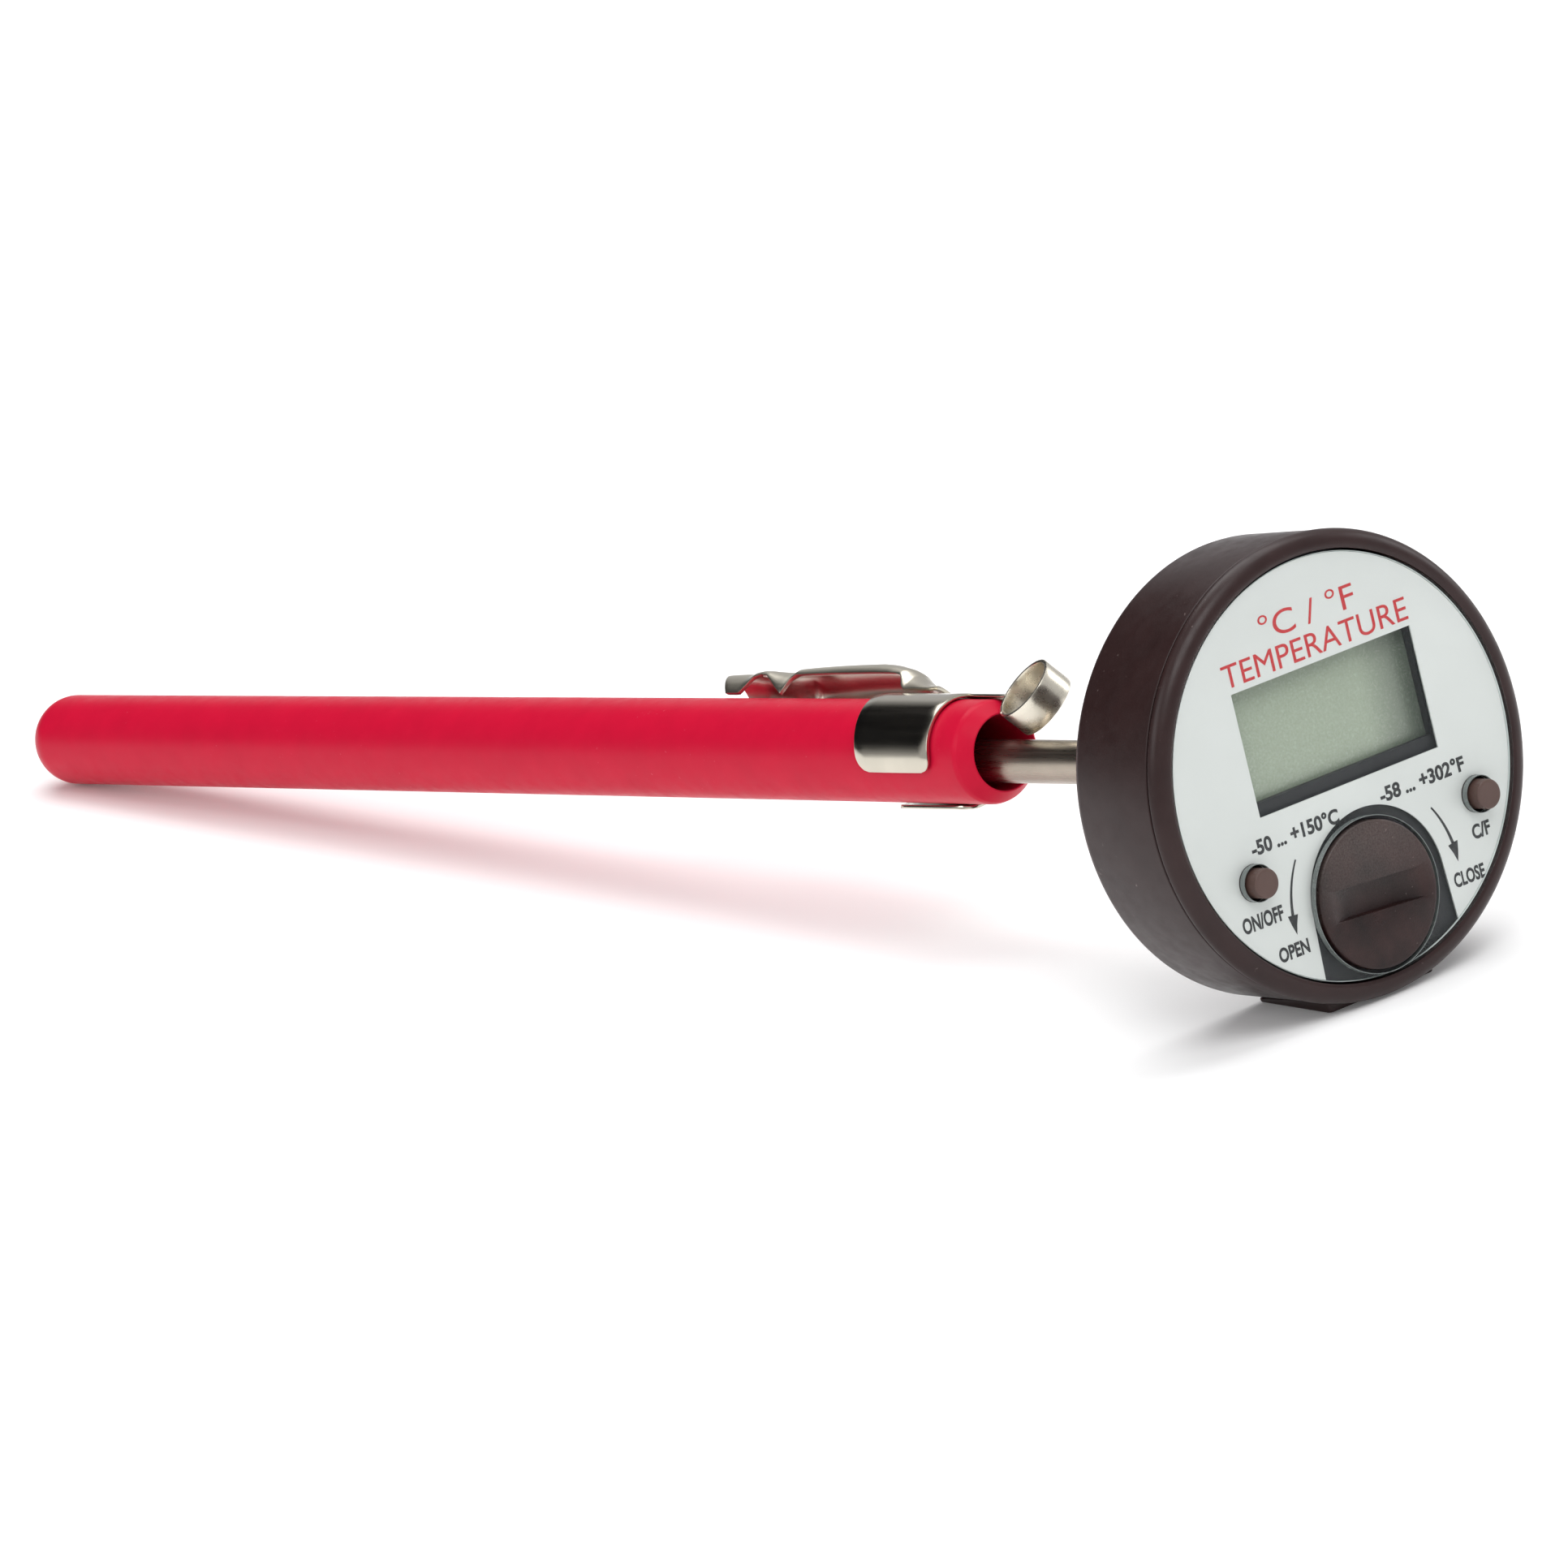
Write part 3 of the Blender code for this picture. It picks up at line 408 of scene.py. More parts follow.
def display_glass():
    """Grey-green liquid crystal, slightly grainy, with painted shadow that darkens it towards its right and
    lower edges.
    """
    nodes = Nodes("display_glass")
    grain = nodes.noise(5200.0, 3.0, 0.6)
    tone = nodes.ramp(grain, [(0.3, (0.265, 0.32, 0.24)), (0.7, (0.325, 0.38, 0.295))])
    # Painted shadow of the window's right and lower edges, laid on the glass as two darkening bands.
    right_shadow_band = (LCD_HIGH.y - 6.0 * MM, LCD_HIGH.y - 0.8 * MM)
    low_shadow_band = (LCD_LOW.z + 0.6 * MM, LCD_LOW.z + 2.2 * MM)
    split = nodes.add("SeparateXYZ")
    nodes.join(nodes.place, split.inputs[0])
    # Painted shadow along the right edge.
    right = nodes.span(split.outputs["Y"], 0.0, 0.8, *right_shadow_band)
    tone = nodes.mix(right, tone, (0.055, 0.068, 0.055))
    # Painted shade along the lower edge.
    low = nodes.span(split.outputs["Z"], 0.25, 0.0, *low_shadow_band)
    tone = nodes.mix(low, tone, (0.16, 0.20, 0.15))
    rough = nodes.span(grain, 0.2, 0.3)
    return nodes.set(Base_Color=tone, Roughness=rough)


def printed_ink(name, colour):
    nodes = Nodes(name)
    wear = nodes.noise(7000.0, 3.0, 0.6)
    tone = nodes.ramp(wear, [(0.3, colour), (0.75, shade(colour, 1.25))])
    return nodes.set(Base_Color=tone, Roughness=nodes.span(wear, 0.45, 0.6))


def floor_paper():
    nodes = Nodes("floor_paper")
    tone = nodes.ramp(nodes.noise(20.0, 3.0), [(0.3, (0.90, 0.90, 0.90)), (0.7, (0.93, 0.93, 0.93))])
    return nodes.set(Base_Color=tone, Roughness=0.85, Emission_Color=tone, Emission_Strength=0.08)


BROWN = (0.026, 0.0125, 0.0122)
# Colour of the pale film: dust, and painted light from above.
DUST_AND_TOP_LIGHT = (0.16, 0.135, 0.125)
NICKEL = (0.62, 0.58, 0.49)
brown_plastic = moulded_plastic("brown_plastic", BROWN, 0.34, gloss=0.26)
# The cap's pale film over its upper part is dust mottle plus painted light from above.
cap_plastic = moulded_plastic("cap_plastic", (0.020, 0.0075, 0.0070), 0.32, mottle=0.55, grain=0.8, gloss=0.3,
                              dust_and_top_light=(CAP_CENTRE[1] - 1.0 * MM, CAP_CENTRE[1] + 5.0 * MM))
button_plastic = moulded_plastic("button_plastic", (0.078, 0.042, 0.034), 0.5, mottle=0.10, marks=0.1)
dark_plastic = moulded_plastic("dark_plastic", (0.009, 0.009, 0.012), 0.45, gloss=0.3)
red_plastic = moulded_plastic("red_plastic", (0.55, 0.007, 0.035), 0.34, mottle=0.04, grain=0.06,
                              marks=0.35, mark_colour=(0.8, 0.25, 0.3), gloss=0.09)
nickel_plate = plated_metal("nickel_plate", NICKEL, 0.14, scratches=0.06)
satin_nickel = plated_metal("satin_nickel", NICKEL, 0.3, scratches=0.08)
# Brighter copy of the clip's nickel for the ring: painted light.
lit_ring_nickel = plated_metal("lit_ring_nickel", (0.80, 0.75, 0.64), 0.26, scratches=0.08)
stem_steel = plated_metal("stem_steel", (0.40, 0.35, 0.29), 0.26, (60.0, 3200.0, 3200.0), 0.1)
INK_BLACK = printed_ink("black_ink", (0.006, 0.006, 0.008))
INK_RED = printed_ink("red_ink", (0.42, 0.008, 0.012))


# ---- head ---------------------------------------------------------------------------------
def make_bezel():
    """Rounded ring that ends at the parting groove."""
    crest_radius = 19.6 * MM
    crest_height = 1.3 * MM
    shoulder = -1.6 * MM
    lip_front = -0.42 * MM
    lip_back = -1.25 * MM
    inner = 20.3 * MM
    crest = arc((crest_radius, shoulder), (HEAD_RADIUS - crest_radius, crest_height), 95, 0, 20)
    side = (HEAD_RADIUS, shoulder - 0.02 * MM)
    edge = softened([side, (HEAD_RADIUS, PARTING, 0.08 * MM), (inner, PARTING)])
    profile = [(LIP_RADIUS, lip_front), *crest, *edge[1:], (inner, lip_back), (LIP_RADIUS, lip_back)]
    ring = lathe("bezel_ring", profile, 224, closed=True, sharp=50)
    dress(ring, brown_plastic, "head", "front_bezel", "front_bezel")


def floor_slope():
    """Slope of the plane under the foot's front edge and the sheath's round end."""
    run = FOOT_FRONT - (SHEATH_END + SHEATH_TIP_RADIUS)
    rise = SHEATH_DROP - HOUSING_LOW.z
    return atan2(rise, run) - asin(SHEATH_TIP_RADIUS / hypot(rise, run))


def make_housing():
    """Cup with a spigot under the bezel and a bush round the stem, planed flat on its belly."""
    front = PARTING - 0.3 * MM
    spigot_front = -1.55 * MM
    inside = HEAD_BACK + 1.1 * MM
    bush_front = inside + 1.8 * MM
    spigot = 20.0 * MM
    front_radius = 20.9 * MM
    back_radius = 20.5 * MM
    inner = 19.4 * MM
    bush = 4.2 * MM
    hole = STEM_RADIUS + 0.3 * MM
    profile = softened([
        (inner, spigot_front), (spigot, spigot_front), (spigot, front), (front_radius, front, 0.15 * MM),
        (back_radius, HEAD_BACK, 0.8 * MM), (hole, HEAD_BACK, 0.2 * MM), (hole, bush_front),
        (bush, bush_front), (bush, inside), (inner, inside),
    ])
    shell = lathe("housing_shell", profile, 224, closed=True, sharp=45)
    plane = cut_by(shell, table_cutter())
    applied(shell, 45.0, plane)
    dress(shell, brown_plastic, "head", "rear_housing", "rear_housing")


def cut_by(obj, cutter):
    cut = obj.modifiers.new(cutter.name, "BOOLEAN")
    cut.operation = "DIFFERENCE"
    cut.solver = "EXACT"
    cut.object = cutter
    return cutter


def table_cutter():
    """Block whose top is the table's plane: the foot and the housing's belly are flat on it."""
    depth = 5.0 * MM
    bm = bmesh.new()
    bmesh.ops.create_cube(bm, size=1.0, matrix=Matrix.Diagonal((40 * MM, 30 * MM, depth, 1.0)))
    turn = Matrix.Rotation(floor_slope(), 4, "Y")
    centre = Vector((FOOT_FRONT, 0.0, HOUSING_LOW.z)) - turn.to_3x3() @ Vector((0.0, 0.0, depth / 2))
    bm.transform(Matrix.Translation(centre) @ turn)
    return mesh_piece("table_cutter", bm)


def make_foot():
    """Foot block, with softened corners, cut flat on the table's plane."""
    back = HEAD_BACK + 0.5 * MM
    top = -19.75 * MM
    bottom = HOUSING_LOW.z - 1.0 * MM
    bm = bmesh.new()
    size = (FOOT_FRONT - back, 2 * FOOT_HALF_WIDTH, top - bottom)
    bmesh.ops.create_cube(bm, size=1.0, matrix=Matrix.Diagonal((*size, 1.0)))
    uprights = [e for e in bm.edges if abs(e.verts[0].co.z - e.verts[1].co.z) > 0.5 * MM]
    bmesh.ops.bevel(bm, geom=uprights, offset=0.5 * MM, segments=4, affect="EDGES", profile=0.5)
    bm.transform(Matrix.Translation(((FOOT_FRONT + back) / 2, 0.0, (top + bottom) / 2)))
    foot = mesh_piece("housing_foot", bm, 50)
    plane = cut_by(foot, table_cutter())
    round_edges(foot, 0.15 * MM, 3, 60)
    applied(foot, 50.0, plane)
    dress(foot, brown_plastic, "head", "rear_housing")


def button_places():
    return {name: corners(f"{name}_button")[2] for name in ("onoff", "unit")}


def make_lens():
    """Clear disc with openings for the buttons and the battery cap, a pale rim that is a painted highlight of
    the lens's edge, and dark walls that are painted shade at the openings.
    """
    depth = 0.6 * MM
    outlines = [circle_points(LENS_RADIUS, (0, 0), 200), circle_points(LENS_HOLE, CAP_CENTRE, 120)]
    for place in button_places().values():
        outlines.append(circle_points(BUTTON_HOLE, (place.y, place.z), 64))
    lens = flat_plate("lens_disc", outlines, LENS_HIGH.x, depth, edge=0.05 * MM)
    dress(lens, clear_lens(), "head", "face_lens", "face_lens")
    make_lens_rim()
    make_lens_hole_shades(depth)


def make_lens_rim():
    """Pale ring that slopes from the lens's edge down to the label's edge: painted highlight of the light
    caught in the lens's edge.
    """
    outer = LENS_RADIUS + 0.02 * MM
    top = LENS_RADIUS - 0.02 * MM
    inner = LABEL_RADIUS + 0.03 * MM
    back = -0.78 * MM
    # Pale colour of the ring: painted highlight of the lens's lit edge.
    finish = moulded_plastic("lens_rim_highlight", (0.50, 0.56, 0.54), 0.25, marks=0.0)
    profile = [(outer, -0.62 * MM), (top, -0.66 * MM), (inner, back), (outer, back)]
    dress(lathe("lens_rim", profile, 200, closed=True), finish, "head", "face_lens")


def make_lens_hole_shades(depth):
    """Dark walls in the lens's openings round the battery cap and the buttons: painted shade at the cut-outs.
    """
    front = -0.02 * MM
    # Dark colour of the walls: painted shade round the lens's openings.
    finish = moulded_plastic("lens_hole_shade", (0.15, 0.17, 0.165), 0.25, marks=0.0)
    edges = [(CAP_CENTRE, LENS_HOLE, "cap")]
    edges += [((place.y, place.z), BUTTON_HOLE, name) for name, place in button_places().items()]
    for centre, radius, name in edges:
        inner = radius - 0.01 * MM
        outer = radius + 0.05 * MM
        wall = [(inner, front), (outer, front), (outer, -depth), (inner, -depth)]
        dress(lathe(f"lens_edge_{name}", wall, 96, centre, closed=True), finish, "head", "face_lens")


def label_outline():
    """Disc with a keyhole notch that runs out of its lower edge round the battery cap."""
    notch_radius = 7.7 * MM
    notch_middle = 0.75 * MM
    foot_half = 7.95 * MM
    start = -acos((notch_middle + foot_half) / LABEL_RADIUS)
    end = 2 * pi - acos((notch_middle - foot_half) / LABEL_RADIUS)
    rim = [start + (end - start) * i / 160 for i in range(161)]
    points = [(LABEL_RADIUS * cos(a), LABEL_RADIUS * sin(a)) for a in rim]
    for i in range(73):
        angle = pi - pi * i / 72
        across = notch_middle + notch_radius * cos(angle)
        points.append((across, CAP_CENTRE[1] + notch_radius * sin(angle)))
    return points


def make_label():
    window = rectangle_points(WINDOW_SIZE, (WINDOW_MIDDLE.y, WINDOW_MIDDLE.z))
    outlines = [label_outline(), window]
    for place in button_places().values():
        outlines.append(circle_points(BUTTON_HOLE + 0.05 * MM, (place.y, place.z), 64))
    label = flat_plate("label_sheet", outlines, LABEL_FRONT, 0.15 * MM)
    dress(label, label_foil(), "head", "dial_label", "dial_label")


PRINT_FRONT = LABEL_FRONT + 0.012 * MM
PRINT_THICKNESS = 0.008 * MM


def print_piece(name, bm, ink):
    """Thicken flat faces backwards from the print's front and give them their ink."""
    extruded = bmesh.ops.extrude_face_region(bm, geom=bm.faces[:])
    moved = [item for item in extruded["geom"] if isinstance(item, bmesh.types.BMVert)]
    bmesh.ops.translate(bm, verts=moved, vec=(-PRINT_THICKNESS, 0.0, 0.0))
    dress(mesh_piece(name, bm, 30), ink, "head", "dial_label")


def printed_text(name, words, middle, size, ink, weight=0.0):
    """Generic lettering fitted to a width and a height, centred on a place of the label."""
    data = bpy.data.curves.new(name, "FONT")
    data.body = words
    data.align_x = "CENTER"
    data.align_y = "CENTER"
    data.size = size[1]
    data.resolution_u = 6
    data.offset = weight * size[1]
    obj = bpy.data.objects.new(name + "_font", data)
    bpy.context.scene.collection.objects.link(obj)
    bpy.context.view_layer.update()
    mesh = bpy.data.meshes.new_from_object(obj.evaluated_get(bpy.context.evaluated_depsgraph_get()))
    bpy.data.objects.remove(obj, do_unlink=True)
    low_x = min(v.co.x for v in mesh.vertices)
    high_x = max(v.co.x for v in mesh.vertices)
    low_y = min(v.co.y for v in mesh.vertices)
    high_y = max(v.co.y for v in mesh.vertices)
    scale_x = size[0] / (high_x - low_x)
    scale_y = size[1] / (high_y - low_y)
    for vert in mesh.vertices:
        across = (vert.co.x - (low_x + high_x) / 2) * scale_x
        up = (vert.co.y - (low_y + high_y) / 2) * scale_y
        vert.co = (PRINT_FRONT, middle[0] + across, middle[1] + up)
    bm = bmesh.new()
    bm.from_mesh(mesh)
    print_piece(name, bm, ink)


def printed_arrow(name, start, end):
    """Curved arrow about the battery cap, from one angle to another in degrees."""
    radius = 9.65 * MM
    shift = 0.5 * MM
    head_sweep = 10.5 if end > start else -10.5
    tail_half = 0.088 * MM
    shaft_half = 0.16 * MM
    head_half = 0.58 * MM
    tip_half = 0.01 * MM
    steps = 12
    neck = end - head_sweep
    bm = bmesh.new()

    def point(angle, offset):
        across = shift + (radius + offset) * cos(radians(angle))
        up = (radius + offset) * sin(radians(angle))
        return bm.verts.new((PRINT_FRONT, CAP_CENTRE[0] + across, CAP_CENTRE[1] + up))

    stations = []
    for i in range(steps + 1):
        half = tail_half + (shaft_half - tail_half) * i / steps
        stations.append((start + (neck - start) * i / steps, half))
    stations += [(neck, head_half), (neck + head_sweep / 2, head_half / 2), (end, tip_half)]
    rows = [(point(angle, half), point(angle, -half)) for angle, half in stations]
    for (a, b), (c, d) in zip(rows, rows[1:]):
        bm.faces.new((a, b, d, c))
    print_piece(name, bm, INK_BLACK)


def make_print():
    """Generic heading, temperature ranges and function words: name, words, middle, size, ink, weight."""
    plain = 0.0
    bold = 0.035
    lines = [
        ("title_upper", "°C / °F", (0.1, 14.2), (11.0, 2.3), INK_RED, plain),
        ("title_lower", "TEMPERATURE", (0.2, 11.25), (21.6, 2.1), INK_RED, plain),
        ("range_celsius", "-50 ... +150°C", (-6.75, -4.0), (10.2, 1.45), INK_BLACK, bold),
        ("range_fahrenheit", "-58 ... +302°F", (8.3, -3.8), (9.95, 1.45), INK_BLACK, bold),
        ("onoff_words", "ON/OFF", (-12.4, -10.3), (4.7, 1.45), INK_BLACK, bold),
        ("unit_words", "C/F", (13.45, -10.1), (2.1, 1.35), INK_BLACK, bold),
        ("open_word", "OPEN", (-9.85, -13.95), (3.5, 1.35), INK_BLACK, bold),
        ("close_word", "CLOSE", (11.0, -13.6), (3.6, 1.35), INK_BLACK, bold),
    ]
    for name, words, middle, size, ink, weight in lines:
        place = (middle[0] * MM, middle[1] * MM)
        printed_text(name, words, place, (size[0] * MM, size[1] * MM), ink, weight)
    printed_arrow("arrow_open", 145.0, 185.0)
    printed_arrow("arrow_close", 33.5, -1.0)


def make_display():
    size = (LCD_HIGH.y - LCD_LOW.y, LCD_HIGH.z - LCD_LOW.z)
    outline = rectangle_points(size, (LCD_MIDDLE.y, LCD_MIDDLE.z))
    glass = flat_plate("display_cell", [outline], LCD_HIGH.x, LCD_HIGH.x - LCD_LOW.x, edge=0.08 * MM)
    dress(glass, display_glass(), "head", "lcd_glass", "lcd_glass")


def make_buttons():
    for name, place in button_places().items():
        low, high, _ = corners(f"{name}_button")
        radius = 1.35 * MM
        collar = 2.2 * MM
        pin = 0.9 * MM
        flange = -2.5 * MM
        flange_back = flange - 0.7 * MM
        profile = softened([
            (0.0, high.x - 0.02 * MM), (radius * 0.7, high.x - 0.01 * MM), (radius, high.x, 0.22 * MM),
            (radius, flange), (collar, flange), (collar, flange_back), (pin, flange_back), (pin, low.x),
            (0.0, low.x),
        ], 5)
        piece = lathe(f"{name}_key", profile, 72, (place.y, place.z), sharp=50)
        dress(piece, button_plastic, f"{name}_button", f"{name}_button", f"{name}_button")


def slot_cutter():
    """Prism for the coin slot: a flat floor between two long ramps, turned a little in the cap."""
    depth = 1.3 * MM
    ramp = 2.3 * MM
    half_length = 5.1 * MM
    half_width = 1.4 * MM
    turn = radians(-4.0)
    outline = [(depth, -half_length - ramp), (depth, half_length + ramp),
               (-depth, half_length - ramp), (-depth, ramp - half_length)]
    bm = bmesh.new()
    upper = [bm.verts.new((x, y, half_width)) for x, y in outline]
    lower = [bm.verts.new((x, y, -half_width)) for x, y in outline]
    bm.faces.new(upper)
    bm.faces.new(lower[::-1])
    for i in range(4):
        j = (i + 1) % 4
        bm.faces.new((upper[i], upper[j], lower[j], lower[i]))
    place = Matrix.Translation((CAP_FRONT, CAP_CENTRE[0], CAP_CENTRE[1]))
    bm.transform(place @ Matrix.Rotation(turn, 4, "X"))
    return mesh_piece("coin_cutter", bm)


def make_cap():
    """Cap with a coin slot, a flange, a skirt with the seal's groove, and a hollow back."""
    skirt = 6.15 * MM
    flange_back = -0.95 * MM
    groove = skirt - 0.8 * MM
    groove_front = -2.7 * MM
    groove_back = -3.7 * MM
    hollow = 4.4 * MM
    hollow_front = -3.3 * MM
    profile = softened([
        (0.0, CAP_FRONT), (CAP_RADIUS, CAP_FRONT, 0.3 * MM), (CAP_RADIUS, flange_back), (skirt, flange_back),
        (skirt, groove_front), (groove, groove_front), (groove, groove_back), (skirt, groove_back),
        (skirt, CAP_LOW.x), (hollow, CAP_LOW.x), (hollow, hollow_front), (0.0, hollow_front),
    ])
    cap = lathe("cap_disc", profile, 128, CAP_CENTRE, sharp=40)
    coin = slot_cutter()
    cut_by(cap, coin)
    round_edges(cap, 0.14 * MM, 3, 60)
    applied(cap, 40.0, coin)
    dress(cap, cap_plastic, "battery_cap", "battery_cap", "battery_cap")


def make_cap_thread():
    """One and a quarter turns of thread in the clearance between the skirt and the well."""
    pitch = 1.0 * MM
    turns = 1.25
    count = 90
    start = -1.25 * MM
    root = 6.10 * MM
    crest = 6.36 * MM
    root_half = 0.24 * MM
    crest_half = 0.07 * MM
    fade_rate = 10
    section = [(root, root_half), (crest, crest_half), (crest, -crest_half), (root, -root_half)]
    bm = bmesh.new()
    rings = []
    for i in range(count + 1):
        part = i / count
        angle = 2 * pi * turns * part
        fade = min(1.0, part * fade_rate, (1 - part) * fade_rate)
        x = start - pitch * turns * part
        ring = []
        for radius, offset in section:
            reach = root + (radius - root) * fade
            across = CAP_CENTRE[0] + reach * cos(angle)
            up = CAP_CENTRE[1] + reach * sin(angle)
            ring.append(bm.verts.new((x + offset, across, up)))
        rings.append(ring)
    for ring, following in zip(rings, rings[1:]):
        for k in range(4):
            j = (k + 1) % 4
            bm.faces.new((ring[k], ring[j], following[j], following[k]))
    bm.faces.new(rings[0])
    bm.faces.new(rings[-1][::-1])
    bmesh.ops.remove_doubles(bm, verts=bm.verts, dist=0.000001)
    dress(mesh_piece("cap_thread", bm), cap_plastic, "battery_cap", "battery_cap")


# ---- stem and sheath ----------------------------------------------------------------------
def make_stem():
    bore = 1.6 * MM
    nose = arc((0.0, STEM_LOW.x + STEM_RADIUS), (STEM_RADIUS, STEM_RADIUS), 0, -90, 16)
    hollow = arc((0.0, STEM_LOW.x + STEM_RADIUS), (bore, bore), -90, 0, 10)
    profile = [(STEM_RADIUS, STEM_HIGH.x), (STEM_RADIUS, HEAD_BACK), *on_axis(nose), *on_axis(hollow)]
    stem = lathe("stem_tube", [*profile, (bore, STEM_HIGH.x)], 96, closed=True, sharp=60)
    dress(stem, stem_steel, "head", "probe_tube", "probe_tube")


def make_sheath():
    centre = (0.0, SHEATH_DROP)
    end_middle = SHEATH_END + SHEATH_TIP_RADIUS
    nose = arc((0.0, end_middle), (SHEATH_TIP_RADIUS, SHEATH_TIP_RADIUS), 0, -90, 24)
    hollow = arc((0.0, end_middle), (SHEATH_BORE, SHEATH_BORE), -90, 0, 12)
    lip_radius = SHEATH_BORE + 0.14 * MM
    chamfer_radius = 4.62 * MM
    chamfer_end = SHEATH_MOUTH - 1.25 * MM
    shoulder = SHEATH_MOUTH - 1.7 * MM
    lip = softened([
        (SHEATH_BORE, SHEATH_MOUTH - 2 * MM), (SHEATH_BORE, SHEATH_MOUTH, 0.06 * MM),
        (lip_radius, SHEATH_MOUTH, 0.05 * MM), (chamfer_radius, chamfer_end, 0.1 * MM),
        (SHEATH_MOUTH_RADIUS, shoulder, 0.2 * MM), (SHEATH_MOUTH_RADIUS, SHEATH_MOUTH - 3 * MM),
    ])
    profile = [*lip, *on_axis(nose), *on_axis(hollow)]
    sheath = lathe("sheath_tube", profile, 160, centre, closed=True, sharp=38)
    dress(sheath, red_plastic, "sheath", "sheath", "sheath")


# ---- pocket clip --------------------------------------------------------------------------
SHEET = 0.35 * MM
BAND_INNER = 4.95 * MM
BAND_TURN = radians(52.5)
BAND_HALF_WRAP = radians(147.5)
BAND_ENDS = (-65.8 * MM, -54.9 * MM)
TONGUE_TURN = radians(50.0)
RING_CENTRE = Vector((-46.2, 2.46, 5.33)) * MM
RING_AXIS = Vector((-0.198, -0.584, 0.787)).normalized()
RING_RADIUS = 3.2 * MM
RING_WIDTH = 2.95 * MM


def around_sheath(x, radius, turn):
    """Point at a distance from the sheath's axis, turned from +Z towards +Y."""
    return Vector((x, radius * sin(turn), SHEATH_DROP + radius * cos(turn)))


def band_rows():
    """Band round the sheath: round corners, a crown towards the closed end, one end skewed to the head."""
    count = 120
    corner = 1.6 * MM
    crown_height = 1.5 * MM
    skew_reach = 0.95 * MM
    skew_start = 0.3
    rows = []
    for i in range(count + 1):
        part = -1.0 + 2.0 * i / count
        turn = BAND_TURN + BAND_HALF_WRAP * part
        to_end = (1.0 - abs(part)) * BAND_HALF_WRAP * BAND_INNER
        short = max(corner - to_end, 0.0)
        inset = corner - sqrt(corner ** 2 - short ** 2)
        crown = crown_height * max(0.0, cos(part * pi / 2)) ** 2
        skew = skew_reach * max(0.0, (-part - skew_start) / (1.0 - skew_start))
        low = BAND_ENDS[0] - crown + inset + skew
        high = BAND_ENDS[1] - inset + skew
        rows.append([around_sheath(low + (high - low) * j / 8, BAND_INNER, turn) for j in range(9)])
    return rows


def ring_frame():
    """Two directions in the plane of the clip's ring: along the sheath, and outwards."""
    along = (Vector((1, 0, 0)) - RING_AXIS * RING_AXIS.x).normalized()
    outward = RING_AXIS.cross(along).normalized()
    return along, outward


def ring_rows():
    """Curled ring of the clip, open by a few degrees."""
    along, outward = ring_frame()
    start = radians(240.0)
    sweep = radians(354.0)
    inner = RING_RADIUS - SHEET
    rows = []
    for i in range(97):
        angle = start + sweep * i / 96
        middle = RING_CENTRE + (along * cos(angle) + outward * sin(angle)) * inner
        rows.append([middle + RING_AXIS * RING_WIDTH * (0.5 - j / 4) for j in range(5)])
    return rows


def strap_rows():
    """Strap from the band to the ring, slanted like the ring at its end."""
    along, _ = ring_frame()
    touch = RING_CENTRE - along * (RING_RADIUS - SHEET / 2)
    middle = atan2(touch.y, touch.z - SHEATH_DROP)
    radius = BAND_INNER + 0.04 * MM
    half_turn = asin(RING_WIDTH / 2 / radius)
    begin = BAND_ENDS[1] - 1.2 * MM
    rows = []
    for i in range(17):
        turn = middle + half_turn * (-1.0 + i / 8)
        end = touch.x + RING_AXIS.x * (middle - turn) * radius
        rows.append([around_sheath(begin + (end - begin) * j / 8, radius, turn) for j in range(9)])
    return rows


def make_clip():
    band = sheet_piece("clip_band", band_rows(), SHEET)
    strap = sheet_piece("clip_strap", strap_rows(), SHEET - 0.08 * MM)
    ring = sheet_piece("clip_ring", ring_rows(), SHEET)
    for piece in (band, strap, ring):
        applied(piece, 40.0)
    dress(band, nickel_plate, "sheath", "pocket_clip", "pocket_clip")
    dress(strap, nickel_plate, "sheath", "pocket_clip")
    # The ring takes the brighter copy of the nickel: painted light.
    dress(ring, lit_ring_nickel, "sheath", "pocket_clip")


def tongue_stations():
    """(x, crest height, depth of the turned-down sides, half width) from the tip to the root.

    Most of these are a fitting program's results, rounded to 0.05 mm, which is a fault.
    """
    return [
        (-95.9, 7.35, 2.7, 1.95), (-95.2, 7.4, 2.8, 2.0), (-92.9, 7.5, 2.9, 2.0), (-91.9, 7.45, 2.8, 2.0),
        (-90.9, 7.45, 2.0, 2.0), (-89.9, 7.45, 1.1, 2.0), (-88.9, 7.45, 0.8, 2.0), (-88.0, 7.5, 0.95, 2.0),
        (-86.9, 7.6, 1.65, 2.0), (-86.0, 7.65, 2.25, 2.0), (-84.5, 7.75, 3.15, 2.0), (-84.1, 7.8, 1.7, 2.0),
        (-83.5, 7.85, 1.2, 2.0), (-81.0, 8.1, 1.35, 2.0), (-78.0, 8.3, 1.45, 2.0), (-75.0, 8.45, 1.55, 2.0),
        (-72.0, 8.55, 1.6, 2.0), (-70.5, 8.45, 1.5, 2.0), (-69.4, 8.3, 1.35, 2.0), (-68.2, 8.05, 1.15, 1.95),
        (-67.6, 7.95, 1.2, 1.95), (-67.2, 7.85, 1.6, 1.9), (-66.8, 7.7, 2.0, 1.9), (-66.3, 7.4, 2.1, 1.85),
        (-65.4, 7.0, 1.65, 1.8), (-64.4, 6.55, 1.2, 1.8), (-63.4, 6.15, 0.8, 1.8), (-62.4, 5.85, 0.5, 1.8),
        (-61.4, 5.7, 0.2, 1.8),
    ]


def between(stations, steps):
    """More stations on straight lines between the given ones."""
    out = []
    for first, second in zip(stations, stations[1:]):
        for k in range(steps):
            t = k / steps
            out.append(tuple(a + (b - a) * t for a, b in zip(first, second)))
    out.append(stations[-1])
    return out


